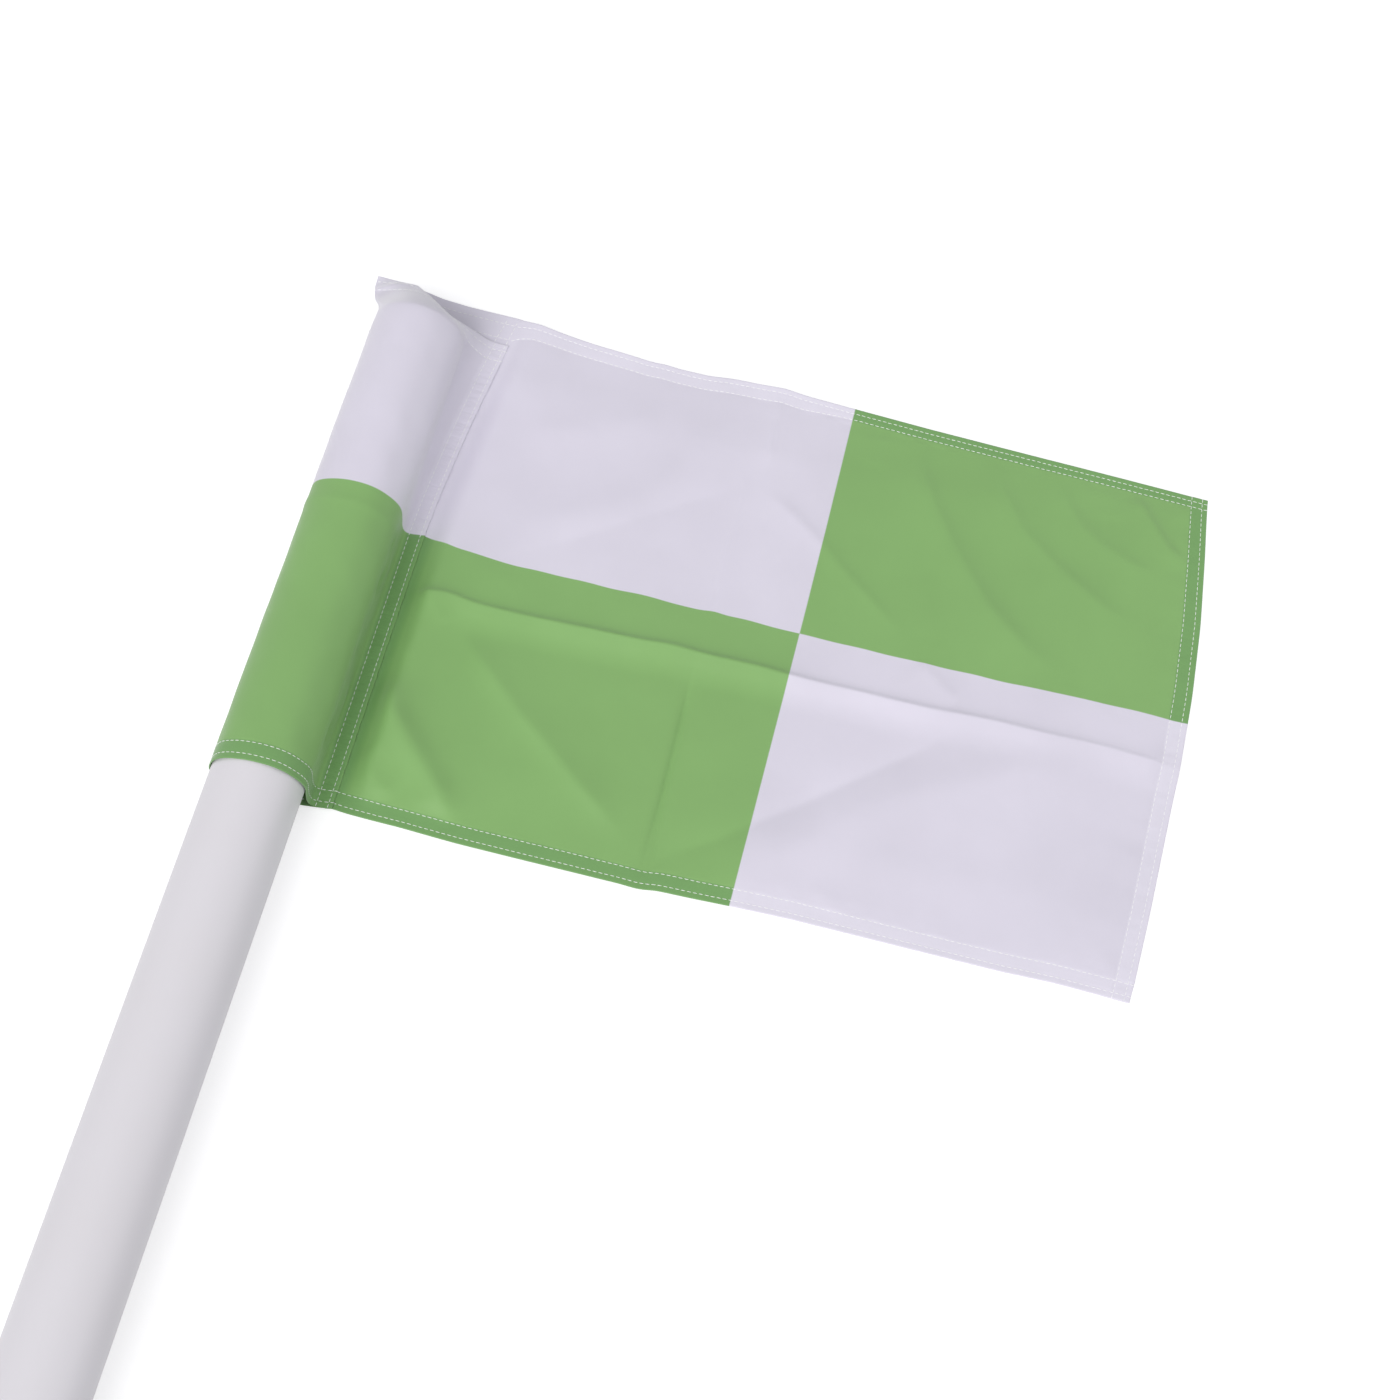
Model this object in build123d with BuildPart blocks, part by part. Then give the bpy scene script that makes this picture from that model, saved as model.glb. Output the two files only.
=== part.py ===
from build123d import *
import os
from math import acos, atan, atan2, cos, hypot, pi, radians, sin, sqrt, tan

# Corner flag: a chequered flag sleeved on a plastic pole, which stands on a
# steel coil spring and a ground stake. It lies on a floor, with the flag
# spread out beside the pole.
# The origin is the point of the pole's axis at ground level when the stake is
# in the turf: the middle of the step plate's underside. +Y runs up the pole,
# +X towards the fly of the flag, and +Z up from the floor. Millimetres.

# Pole
pole_diameter = 50.0
pole_wall = 2.5
pole_length = 1450.0
cap_skirt_length = 22.0
cap_skirt_wall = 2.0
cap_rim_height = 2.0
cap_rounding = 5.0
cap_crown = 0.8
push_gap = 0.1

# Foot plug, and the screws that hold it
plug_flange_height = 4.0
plug_length = 60.0
plug_groove_depth = 1.0
plug_groove_width = 5.0
plug_groove_count = 3
foot_screw_count = 3
foot_screw_diameter = 4.0
foot_screw_length = 16.0
foot_screw_head_diameter = 8.0
foot_screw_head_height = 2.0
foot_screw_sink = 0.4
foot_screw_rise = 48.0
screw_cross_length = 4.4
screw_cross_width = 1.0
screw_cross_depth = 1.3

# Spring and the two studs that it is wound onto
wire_diameter = 6.5
spring_mean_diameter = 30.0
spring_pitch = 7.6
spring_turns = 12
spring_end_gap = 0.2
spring_bore_gap = 0.2
grip_length = 14.0
collar_diameter = 38.0
collar_height = 4.0
thread_diameter = 12.0
nut_flats = 19.0
nut_height = 7.0
nut_face_diameter = 18.0
nut_corner_angle = 30.0
washer_diameter = 30.0
washer_thickness = 2.5
thread_end = 3.0
edge_break = 1.0

# Ground stake
plate_width = 90.0
plate_depth = 44.0
plate_thickness = 5.0
plate_corner = 8.0
head_diameter = 34.0
head_height = 24.0
head_flats = 30.0
head_flats_height = 12.0
thread_depth = 20.0
shaft_diameter = 22.0
shaft_wall = 2.0
shaft_length = 240.0
shaft_neck_step = 0.5
weld_groove = 1.0
tip_length = 60.0
tip_end_diameter = 4.0
tip_spigot_length = 15.0

# Flag: its cut, its thickness, and how it lies
flag_width = 434.0
flag_height = 318.0
hem_width = 10.5
cloth_thickness = 0.6
hem_thickness = 1.0
seam_thickness = 1.2
seam_width = 8.0
cloth_gap = 0.3
sleeve_slack = 2.0
sleeve_drop = 3.0
pocket_below_end = 2.0
pocket_reach = 28.0
corner_lift = 7.0
corner_shift = 14.0
ear_reach = 14.0
fly_bow = 7.0
fly_lean = 3.0
top_dip_x = 150.0
bottom_kink_x = 205.0
bottom_rise = 3.0

# Ridge that the packing fold left along the flag, from the seam to the fly
ridge_width = 60.0
ridge_rise = 134.0
ridge_slope = 0.025
ridge_heights = [(0.0, 0.8), (0.25, 6.0), (0.62, 5.0), (1.0, 5.5)]

os.makedirs("parts", exist_ok=True)


def across(y):
    """The plane square to the pole at y: its x is +X and its y is +Z."""
    return Plane.XZ.offset(-y)


def save(builder, name):
    builder.part.label = name
    export_step(builder.part, f"parts/{name}.step")


# Places along the pole, from the ground up
head_top = plate_thickness + head_height
nut_top = head_top + nut_height
lower_seat = nut_top + collar_height
spring_rise = spring_pitch * spring_turns
spring_start = lower_seat + spring_end_gap + wire_diameter / 2
spring_end = spring_start + spring_rise
upper_seat = spring_end + wire_diameter / 2 + spring_end_gap
plug_foot = upper_seat + collar_height
tube_foot = plug_foot + plug_flange_height
tube_top = tube_foot + pole_length
cap_top = tube_top + cap_rim_height + cap_rounding
plug_top = tube_foot + plug_length

pole_radius = pole_diameter / 2
tube_bore = pole_radius - pole_wall
grip_radius = (spring_mean_diameter - wire_diameter) / 2 - spring_bore_gap
thread_radius = thread_diameter / 2

# Step plate: flat steel bar across the stake for a foot to press on. The
# stake's neck goes through its hole, which has a groove for the weld below.
neck_radius = shaft_diameter / 2 - shaft_neck_step
with BuildPart() as step_plate:
    with BuildSketch(across(0)):
        RectangleRounded(plate_width, plate_depth, plate_corner)
    extrude(amount=-plate_thickness)
    chamfer(step_plate.faces().sort_by(Axis.Y)[-1].edges(), edge_break)
    with BuildSketch(across(0)):
        Circle(neck_radius + push_gap)
    extrude(amount=-plate_thickness, mode=Mode.SUBTRACT)
    hole_edges = step_plate.edges().filter_by(GeomType.CIRCLE).group_by(Axis.Y)[0]
    chamfer(hole_edges.sort_by(SortBy.RADIUS)[-1], weld_groove)
save(step_plate, "step_plate")

# Stake shaft: steel tube, turned down at its top to a neck for the plate.
with BuildPart() as stake_shaft:
    with BuildSketch(across(0)):
        Circle(shaft_diameter / 2)
    extrude(amount=shaft_length)
    with BuildSketch(across(plate_thickness)):
        Circle(neck_radius)
    extrude(amount=plate_thickness)
    with BuildSketch(across(plate_thickness)):
        Circle(shaft_diameter / 2 - shaft_wall)
    extrude(amount=plate_thickness + shaft_length, mode=Mode.SUBTRACT)
save(stake_shaft, "stake_shaft")

# Stake tip: turned steel cone, with a spigot that is welded into the shaft.
tip_spigot_radius = shaft_diameter / 2 - shaft_wall - push_gap
with BuildPart() as stake_tip:
    with BuildSketch(Plane.XY):
        with BuildLine():
            Polyline(
                (0, -shaft_length + tip_spigot_length),
                (tip_spigot_radius, -shaft_length + tip_spigot_length),
                (tip_spigot_radius, -shaft_length),
                (shaft_diameter / 2, -shaft_length),
                (tip_end_diameter / 2, -shaft_length - tip_length),
                (0, -shaft_length - tip_length),
                close=True,
            )
        make_face()
    revolve(axis=Axis.Y)
    tip_edge = stake_tip.edges().group_by(Axis.Y)[0]
    fillet(tip_edge, tip_end_diameter / 4)
save(stake_tip, "stake_tip")

# Stake head: turned steel boss, welded on the plate and the neck's end, with
# two flats for a spanner and a blind tapped hole for the lower stud.
with BuildPart() as stake_head:
    with BuildSketch(across(plate_thickness)):
        Circle(head_diameter / 2)
    extrude(amount=-head_height)
    chamfer(stake_head.edges().group_by(Axis.Y)[-1], edge_break)
    with BuildSketch(across(head_top)):
        Rectangle(head_diameter, head_diameter)
        Rectangle(head_diameter, head_flats, mode=Mode.SUBTRACT)
    extrude(amount=head_flats_height, mode=Mode.SUBTRACT)
    with BuildSketch(across(head_top)):
        Circle(thread_radius + push_gap)
    extrude(amount=thread_depth, mode=Mode.SUBTRACT)
save(stake_head, "stake_head")

# Lower stud nut: locks the stud in the head. Its corners are turned off at
# both ends, to a round face.
nut_corner_radius = nut_flats / sqrt(3)
nut_face_radius = nut_face_diameter / 2
nut_corner_drop = (nut_corner_radius - nut_face_radius) * tan(radians(nut_corner_angle))


def turned_nut(foot_y):
    """Half the outline, beside the axis, that the nut's corners are turned to."""
    with BuildSketch(Plane.XY) as outline:
        with BuildLine():
            Polyline(
                (0, foot_y),
                (nut_face_radius, foot_y),
                (nut_corner_radius, foot_y + nut_corner_drop),
                (nut_corner_radius, foot_y + nut_height - nut_corner_drop),
                (nut_face_radius, foot_y + nut_height),
                (0, foot_y + nut_height),
                close=True,
            )
        make_face()
    return outline.sketch


with BuildPart() as lower_stud_nut:
    with BuildSketch(across(head_top)):
        RegularPolygon(nut_flats / 2, 6, major_radius=False)
        Circle(thread_radius + push_gap, mode=Mode.SUBTRACT)
    extrude(amount=-nut_height)
    revolve(turned_nut(head_top), axis=Axis.Y, mode=Mode.INTERSECT)
save(lower_stud_nut, "lower_stud_nut")

# Lower spring stud: the spring's last turns are wound tight onto its spigot
# and stand on its collar.
with BuildPart() as lower_spring_stud:
    with BuildSketch(Plane.XY):
        with BuildLine():
            Polyline(
                (0, head_top - thread_depth + thread_end),
                (thread_radius, head_top - thread_depth + thread_end),
                (thread_radius, nut_top),
                (collar_diameter / 2, nut_top),
                (collar_diameter / 2, lower_seat),
                (grip_radius, lower_seat),
                (grip_radius, lower_seat + grip_length),
                (0, lower_seat + grip_length),
                close=True,
            )
        make_face()
    revolve(axis=Axis.Y)
    chamfer(lower_spring_stud.edges().group_by(Axis.Y)[-1], edge_break)
    collar_edges = lower_spring_stud.edges().filter_by(
        lambda e: e.geom_type == GeomType.CIRCLE and e.radius > grip_radius + edge_break
    )
    chamfer(collar_edges, edge_break / 2)
save(lower_spring_stud, "lower_spring_stud")

# Tilt spring: round wire wound in one open helix, cut square at both ends.
# Each quarter turn of the helix is two arcs that meet with one tangent.
wire_radius = wire_diameter / 2
coil_radius = spring_mean_diameter / 2
quarter_turns = 4 * spring_turns


def helix_point(angle):
    rise = spring_start + spring_pitch * angle / (2 * pi)
    return Vector(coil_radius * cos(angle), rise, coil_radius * sin(angle))


def helix_tangent(angle):
    along = spring_pitch / (2 * pi)
    return Vector(-coil_radius * sin(angle), along, coil_radius * cos(angle)).normalized()


def biarc_joint(start, end, start_tangent, end_tangent):
    """Where two arcs from start to end meet, with equal tangent lengths."""
    chord = end - start
    a = 2 * (1 - start_tangent.dot(end_tangent))
    b = 2 * chord.dot(start_tangent + end_tangent)
    reach = (sqrt(b * b + 4 * a * chord.dot(chord)) - b) / (2 * a)
    return (start + start_tangent * reach + end - end_tangent * reach) * 0.5


with BuildPart() as tilt_spring:
    with BuildLine() as coil_line:
        for quarter in range(quarter_turns):
            from_angle = quarter * pi / 2
            to_angle = from_angle + pi / 2
            arc_start = helix_point(from_angle)
            arc_end = helix_point(to_angle)
            start_tangent = helix_tangent(from_angle)
            meet = biarc_joint(arc_start, arc_end, start_tangent, helix_tangent(to_angle))
            first_arc = TangentArc(arc_start, meet, tangent=start_tangent)
            TangentArc(meet, arc_end, tangent=first_arc % 1)
    with BuildSketch(Plane(origin=helix_point(0), z_dir=helix_tangent(0))):
        Circle(wire_radius)
    sweep(path=coil_line.wire())
save(tilt_spring, "tilt_spring")

# The least gap between one turn and the next, measured on points of the path.
samples_per_turn = 48
coil_points = [
    coil_line.wire() @ (i / (samples_per_turn * spring_turns))
    for i in range(samples_per_turn * spring_turns + 1)
]
turn_gap = min(
    (coil_points[i + step] - coil_points[i]).length
    for i in range(len(coil_points))
    for step in range(samples_per_turn * 3 // 4, samples_per_turn * 5 // 4)
    if i + step < len(coil_points)
)
print("tilt_spring least gap to itself, mm:", round(turn_gap - wire_diameter, 2))

# Upper spring stud: the same spigot and collar upside down, with a long
# threaded shank through the foot plug.
shank_top = plug_top + washer_thickness + nut_height + thread_end
with BuildPart() as upper_spring_stud:
    with BuildSketch(Plane.XY):
        with BuildLine():
            Polyline(
                (0, upper_seat - grip_length),
                (grip_radius, upper_seat - grip_length),
                (grip_radius, upper_seat),
                (collar_diameter / 2, upper_seat),
                (collar_diameter / 2, plug_foot),
                (thread_radius, plug_foot),
                (thread_radius, shank_top),
                (0, shank_top),
                close=True,
            )
        make_face()
    revolve(axis=Axis.Y)
    chamfer(upper_spring_stud.edges().group_by(Axis.Y)[0], edge_break)
    chamfer(upper_spring_stud.edges().group_by(Axis.Y)[-1], edge_break)
    collar_edges = upper_spring_stud.edges().filter_by(
        lambda e: e.geom_type == GeomType.CIRCLE and e.radius > grip_radius + edge_break
    )
    chamfer(collar_edges, edge_break / 2)
save(upper_spring_stud, "upper_spring_stud")

# Pole foot plug: moulded plastic, pushed into the tube's lower end, with ring
# grooves on its body and a flange as wide as the tube.
screw_y = tube_foot + foot_screw_rise
screw_radius = foot_screw_diameter / 2
screw_head_out = pole_radius - foot_screw_sink
screw_tip_in = screw_head_out - foot_screw_length
plug_radius = tube_bore - push_gap
groove_zone = foot_screw_rise - foot_screw_head_diameter
groove_step = groove_zone / plug_groove_count


def screw_plane(index):
    """The plane at the pole's axis whose normal points out along a screw."""
    turn = pi / 2 + index * 2 * pi / foot_screw_count
    return Plane(origin=(0, screw_y, 0), x_dir=(0, 1, 0), z_dir=(cos(turn), 0, sin(turn)))


with BuildPart() as pole_foot_plug:
    with BuildSketch(across(plug_foot)):
        Circle(pole_radius)
    extrude(amount=-plug_flange_height)
    chamfer(pole_foot_plug.edges().group_by(Axis.Y)[0], edge_break)
    with BuildSketch(across(tube_foot)):
        Circle(plug_radius)
    extrude(amount=-plug_length)
    chamfer(pole_foot_plug.edges().group_by(Axis.Y)[-1], edge_break)
    with BuildSketch(Plane.XY):
        for groove in range(plug_groove_count):
            groove_y = tube_foot + (groove + 0.5) * groove_step
            with Locations((plug_radius - plug_groove_depth / 2, groove_y)):
                Rectangle(plug_groove_depth, plug_groove_width)
    revolve(axis=Axis.Y, mode=Mode.SUBTRACT)
    with BuildSketch(across(plug_foot)):
        Circle(thread_radius + push_gap)
    extrude(amount=-plug_flange_height - plug_length, mode=Mode.SUBTRACT)
    for index in range(foot_screw_count):
        with BuildSketch(screw_plane(index).offset(screw_tip_in - push_gap)):
            Circle(screw_radius + push_gap)
        extrude(amount=pole_radius, mode=Mode.SUBTRACT)
save(pole_foot_plug, "pole_foot_plug")

# Upper stud washer and nut: they clamp the stud to the plug, inside the tube.
with BuildPart() as upper_stud_washer:
    with BuildSketch(across(plug_top)):
        Circle(washer_diameter / 2)
        Circle(thread_radius + push_gap, mode=Mode.SUBTRACT)
    extrude(amount=-washer_thickness)
save(upper_stud_washer, "upper_stud_washer")

with BuildPart() as upper_stud_nut:
    with BuildSketch(across(plug_top + washer_thickness)):
        RegularPolygon(nut_flats / 2, 6, major_radius=False)
        Circle(thread_radius + push_gap, mode=Mode.SUBTRACT)
    extrude(amount=-nut_height)
    nut_turning = turned_nut(plug_top + washer_thickness)
    revolve(nut_turning, axis=Axis.Y, mode=Mode.INTERSECT)
save(upper_stud_nut, "upper_stud_nut")

# Pole foot screws: countersunk tapping screws through the tube into the plug,
# with a cross recess in each head.
with BuildPart() as pole_foot_screws:
    for index in range(foot_screw_count):
        with BuildSketch(screw_plane(index).offset(screw_tip_in)):
            Circle(screw_radius)
        extrude(amount=foot_screw_length - foot_screw_head_height)
        with BuildSketch(screw_plane(index).offset(screw_head_out - foot_screw_head_height)):
            Circle(screw_radius)
        with BuildSketch(screw_plane(index).offset(screw_head_out)):
            Circle(foot_screw_head_diameter / 2)
        loft()
        with BuildSketch(screw_plane(index).offset(screw_head_out)):
            Rectangle(screw_cross_length, screw_cross_width)
            Rectangle(screw_cross_width, screw_cross_length)
        extrude(amount=-screw_cross_depth, mode=Mode.SUBTRACT)
save(pole_foot_screws, "pole_foot_screws")

# Pole tube: white plastic tube, with countersunk holes near its foot.
with BuildPart() as pole_tube:
    with BuildSketch(across(tube_foot)):
        Circle(pole_radius)
        Circle(tube_bore, mode=Mode.SUBTRACT)
    extrude(amount=-pole_length)
    for index in range(foot_screw_count):
        with BuildSketch(screw_plane(index)):
            Circle(screw_radius + push_gap)
        extrude(amount=pole_diameter, mode=Mode.SUBTRACT)
        with BuildSketch(screw_plane(index).offset(screw_head_out - foot_screw_head_height)):
            Circle(screw_radius + push_gap)
        with BuildSketch(screw_plane(index).offset(screw_head_out)):
            Circle(foot_screw_head_diameter / 2 + push_gap)
        loft(mode=Mode.SUBTRACT)
        with BuildSketch(screw_plane(index).offset(screw_head_out)):
            Circle(foot_screw_head_diameter / 2 + push_gap)
        extrude(amount=pole_wall, mode=Mode.SUBTRACT)
save(pole_tube, "pole_tube")

# Pole top cap: moulded plastic, with a rounded rim as wide as the tube, a
# slightly crowned top and a skirt that is pushed into the tube.
skirt_radius = tube_bore - push_gap
skirt_bore = skirt_radius - cap_skirt_wall
skirt_foot = tube_top - cap_skirt_length
crown_edge = pole_radius - cap_rounding
crown_radius = (crown_edge**2 + cap_crown**2) / (2 * cap_crown)
round_half = cap_rounding * sqrt(0.5)
with BuildPart() as pole_top_cap:
    with BuildSketch(Plane.XY):
        with BuildLine():
            Polyline(
                (0, cap_top + cap_crown),
                (0, tube_top),
                (skirt_bore, tube_top),
                (skirt_bore, skirt_foot),
                (skirt_radius, skirt_foot),
                (skirt_radius, tube_top),
                (pole_radius, tube_top),
                (pole_radius, cap_top - cap_rounding),
            )
            ThreePointArc(
                (pole_radius, cap_top - cap_rounding),
                (crown_edge + round_half, cap_top - cap_rounding + round_half),
                (crown_edge, cap_top),
            )
            RadiusArc((crown_edge, cap_top), (0, cap_top + cap_crown), -crown_radius)
        make_face()
    revolve(axis=Axis.Y)
save(pole_top_cap, "pole_top_cap")

# Flag. The sleeve is a loop of the same cloth round the pole, closed by a
# seam along the floor on the fly side. Its cross-section is the pole's round,
# a flat run under the pole, and a straight run from the pole down to the seam.
floor_z = -(pole_radius + cloth_gap + hem_thickness)
sleeve_bore = pole_radius + cloth_gap
seam_left = sleeve_bore + cloth_thickness + sleeve_slack
seam_right = seam_left + seam_width
fly_x = seam_right + flag_width
flag_top = cap_top + pocket_reach
flag_foot = flag_top - flag_height
closure_y = flag_top + corner_lift
pocket_start = cap_top - pocket_below_end
sleeve_foot = flag_foot - sleeve_drop


def leaving_angle(radius):
    """Where the upper layer leaves the round for the seam, from +X."""
    tip_x, tip_z = seam_left, seam_thickness - radius
    return atan2(tip_z, tip_x) + acos(radius / hypot(tip_x, tip_z))


def on_round(radius, angle):
    return (radius * cos(angle), radius * sin(angle))


def loop_outline(radius, leaving, tip):
    """The loop's outline at one radius. tip is its corner, or both, at the seam."""
    Polyline(tip[-1], (0, -radius))
    ThreePointArc((0, -radius), on_round(radius, 1.25 * pi), (-radius, 0))
    ThreePointArc((-radius, 0), on_round(radius, 0.75 * pi), (0, radius))
    halfway = (pi / 2 + leaving) / 2
    ThreePointArc((0, radius), on_round(radius, halfway), on_round(radius, leaving))
    Polyline(on_round(radius, leaving), *tip)


def loop_bore_tip(leaving):
    """Where the two layers meet inside the loop."""
    run = sleeve_bore * (1 + sin(leaving)) / cos(leaving)
    return (sleeve_bore * cos(leaving) + run * sin(leaving), -sleeve_bore)


def sleeve_ring(y, thickness):
    """The loop's cross-section at y."""
    radius = sleeve_bore + thickness
    leaving = leaving_angle(radius)
    outer_tip = [(seam_left, seam_thickness - radius), (seam_left, -radius)]
    with BuildSketch(across(y)) as ring:
        with BuildLine():
            loop_outline(radius, leaving, outer_tip)
        make_face()
        with BuildLine():
            loop_outline(sleeve_bore, leaving, [loop_bore_tip(leaving)])
        make_face(mode=Mode.SUBTRACT)
    return ring.sketch


# Sleeve bottom hem: the loop's open end, turned up and stitched twice.
with BuildPart() as sleeve_bottom_hem:
    extrude(sleeve_ring(sleeve_foot, hem_thickness), amount=-hem_width)
save(sleeve_bottom_hem, "sleeve_bottom_hem")

# Sleeve: the loop from its hem to the pole's end.
sleeve_start = sleeve_foot + hem_width
with BuildPart() as flag_sleeve:
    extrude(sleeve_ring(sleeve_start, cloth_thickness), amount=sleeve_start - pocket_start)
save(flag_sleeve, "flag_sleeve")

# Pocket top: above the pole's end the loop flattens, like the end of a tube
# of paste, and is sewn shut along the floor. Each of its sections lies
# between the round loop, at 0, and the flat closed one, at 1.
sleeve_radius = sleeve_bore + cloth_thickness
pocket_leaving = leaving_angle(sleeve_radius)
closed_left = -sleeve_radius - ear_reach
closed_right = seam_left + corner_shift
pocket_sections = [(0.0, 0.0), (0.46, 0.40), (0.85, 0.82), (1.0, 1.0)]
shut_shares = (0.10, 0.03, 0.0, 0.15, 0.35, 0.50, 0.70)
arc_bulge = 0.15
bore_tip = loop_bore_tip(pocket_leaving)


def between(start, end, share):
    return tuple(s + (e - s) * share for s, e in zip(start, end))


def pocket_section(along, share, radius, shut_thickness, round_tip):
    """The pocket's outline at one radius, when it is share of the way shut."""
    left = closed_left + sleeve_radius - radius
    low = -radius
    high = low + shut_thickness
    middle = (low + high) / 2
    folded = (low + middle) / 2
    over = high + arc_bulge
    round_points = [on_round(radius, a * pi) for a in (1.5, 1.25, 1.0, 0.75, 0.5)]
    round_points.append(on_round(radius, (pi / 2 + pocket_leaving) / 2))
    round_points.append(on_round(radius, pocket_leaving))
    shut_heights = (low, folded - arc_bulge, middle, over, high, over, high)
    shut_points = [
        (left + share_of_width * (closed_right - left), z)
        for share_of_width, z in zip(shut_shares, shut_heights)
    ]
    shut_tip = [(x + corner_shift, z) for x, z in round_tip]
    p = [between(r, s, share) for r, s in zip(round_points, shut_points)]
    tip = [between(r, s, share) for r, s in zip(round_tip, shut_tip)]
    with BuildSketch(across(pocket_start + along * (closure_y - pocket_start))) as section:
        with BuildLine():
            Polyline(tip[-1], p[0])
            ThreePointArc(p[0], p[1], p[2])
            ThreePointArc(p[2], p[3], p[4])
            ThreePointArc(p[4], p[5], p[6])
            Polyline(p[6], *tip)
        make_face()
    return section.sketch


outer_tip = [(seam_left, seam_thickness - sleeve_radius), (seam_left, -sleeve_radius)]
with BuildPart() as pocket_top:
    outer_sections = [
        pocket_section(along, share, sleeve_radius, seam_thickness, outer_tip)
        for along, share in pocket_sections
    ]
    loft(outer_sections, ruled=True)
    inner_sections = [
        pocket_section(along, share, sleeve_bore, arc_bulge, [bore_tip])
        for along, share in pocket_sections[:-1]
    ]
    loft(inner_sections, ruled=True, mode=Mode.SUBTRACT)
save(pocket_top, "pocket_top")

# The spread part of the flag is one sheet on the floor, with a long ridge.
# Its plan is cut into the panel and the doubled hems round it.
plan_reach = 2 * hem_width
sheet_end = fly_x + plan_reach


def ridge_section(x, height, thickness):
    """Cross-section of the sheet at x: flat, up over the ridge, and flat."""
    half = ridge_width / 2
    crest_y = flag_foot + ridge_rise + ridge_slope * x
    low_y = flag_foot - plan_reach
    high_y = closure_y + plan_reach
    top_z = floor_z + thickness
    mid_z = floor_z + height / 2
    slant = 2 * atan(height / half)
    across_slant = thickness * sin(slant)
    up_slant = thickness * cos(slant)
    with BuildSketch(Plane.YZ.offset(x)) as section:
        with BuildLine():
            under = Line((low_y, floor_z), (crest_y - half, floor_z))
            rise = TangentArc(under @ 1, (crest_y - half / 2, mid_z), tangent=under % 1)
            crest = TangentArc(rise @ 1, (crest_y + half / 2, mid_z), tangent=rise % 1)
            fall = TangentArc(crest @ 1, (crest_y + half, floor_z), tangent=crest % 1)
            Polyline(fall @ 1, (high_y, floor_z), (high_y, top_z))
            over = Line((high_y, top_z), (crest_y + half, top_z))
            fall_point = (crest_y + half / 2 + across_slant, mid_z + up_slant)
            fall = TangentArc(over @ 1, fall_point, tangent=over % 1)
            rise_point = (crest_y - half / 2 - across_slant, mid_z + up_slant)
            crest = TangentArc(fall @ 1, rise_point, tangent=fall % 1)
            rise = TangentArc(crest @ 1, (crest_y - half, top_z), tangent=crest % 1)
            Polyline(rise @ 1, (low_y, top_z), (low_y, floor_z))
        make_face()
    return section.sketch


def ridged_sections(thickness):
    """Sections of the sheet from the seam to past the fly."""
    return [
        ridge_section(seam_right + along * (sheet_end - seam_right), height, thickness)
        for along, height in ridge_heights
    ]


def leaning_x(y):
    """The sheet's edge beside the pocket, which leans out to the corner."""
    share = (y - pocket_start) / (closure_y - pocket_start)
    return seam_right + corner_shift * share


def plan_within(top_inset, foot_inset, fly_inset):
    """The sheet's plan, with its edges moved in by their insets."""
    corner_y = closure_y - top_inset
    foot_y = flag_foot - bottom_rise + foot_inset
    with BuildSketch(Plane.XY.offset(floor_z - plan_reach)) as plan:
        with BuildLine():
            Polyline(
                (leaning_x(corner_y), corner_y),
                (seam_right, pocket_start),
                (seam_right, foot_y),
                (bottom_kink_x, foot_y),
                (sheet_end, foot_y + bottom_rise),
                (sheet_end, flag_top - fly_lean - top_inset),
                (top_dip_x, flag_top - top_inset),
                close=True,
            )
        make_face()
        with BuildLine():
            fly = ThreePointArc(
                (fly_x - fly_inset, flag_foot - plan_reach),
                (fly_x - fly_inset + fly_bow, (flag_foot + flag_top) / 2),
                (fly_x - fly_inset - fly_lean, closure_y + plan_reach),
            )
            far_x = sheet_end + plan_reach
            Polyline(fly @ 1, (far_x, (fly @ 1).Y), (far_x, (fly @ 0).Y), fly @ 0)
        make_face(mode=Mode.SUBTRACT)
    return plan.sketch


plan_height = 2 * plan_reach

# Flag panel: one thickness of printed cloth.
with BuildPart() as flag_panel:
    loft(ridged_sections(cloth_thickness))
    panel_plan = plan_within(hem_width, hem_width, hem_width)
    extrude(panel_plan, amount=plan_height, mode=Mode.INTERSECT)
save(flag_panel, "flag_panel")

# Top, bottom and fly hems: the cloth's edges, turned over and stitched twice.
with BuildPart() as top_hem:
    loft(ridged_sections(hem_thickness))
    extrude(plan_within(0, 0, hem_width), amount=plan_height, mode=Mode.INTERSECT)
    below_hem = plan_within(hem_width, -plan_reach, hem_width)
    extrude(below_hem, amount=plan_height, mode=Mode.SUBTRACT)
save(top_hem, "top_hem")

with BuildPart() as bottom_hem:
    loft(ridged_sections(hem_thickness))
    extrude(plan_within(0, 0, hem_width), amount=plan_height, mode=Mode.INTERSECT)
    above_hem = plan_within(-plan_reach, hem_width, hem_width)
    extrude(above_hem, amount=plan_height, mode=Mode.SUBTRACT)
save(bottom_hem, "bottom_hem")

with BuildPart() as fly_hem:
    loft(ridged_sections(hem_thickness))
    extrude(plan_within(0, 0, 0), amount=plan_height, mode=Mode.INTERSECT)
    before_hem = plan_within(-plan_reach, -plan_reach, hem_width)
    extrude(before_hem, amount=plan_height, mode=Mode.SUBTRACT)
save(fly_hem, "fly_hem")

# Sleeve seam: both ends of the loop and the panel's edge, stitched together.
with BuildPart() as sleeve_seam:
    with BuildSketch(Plane.XY.offset(floor_z)):
        with BuildLine():
            Polyline(
                (seam_left, flag_foot - bottom_rise),
                (seam_right, flag_foot - bottom_rise),
                (seam_right, pocket_start),
                (seam_right + corner_shift, closure_y),
                (seam_left + corner_shift, closure_y),
                (seam_left, pocket_start),
                close=True,
            )
        make_face()
    extrude(amount=seam_thickness)
save(sleeve_seam, "sleeve_seam")
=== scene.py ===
from math import cos, pi, radians, sin

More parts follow.
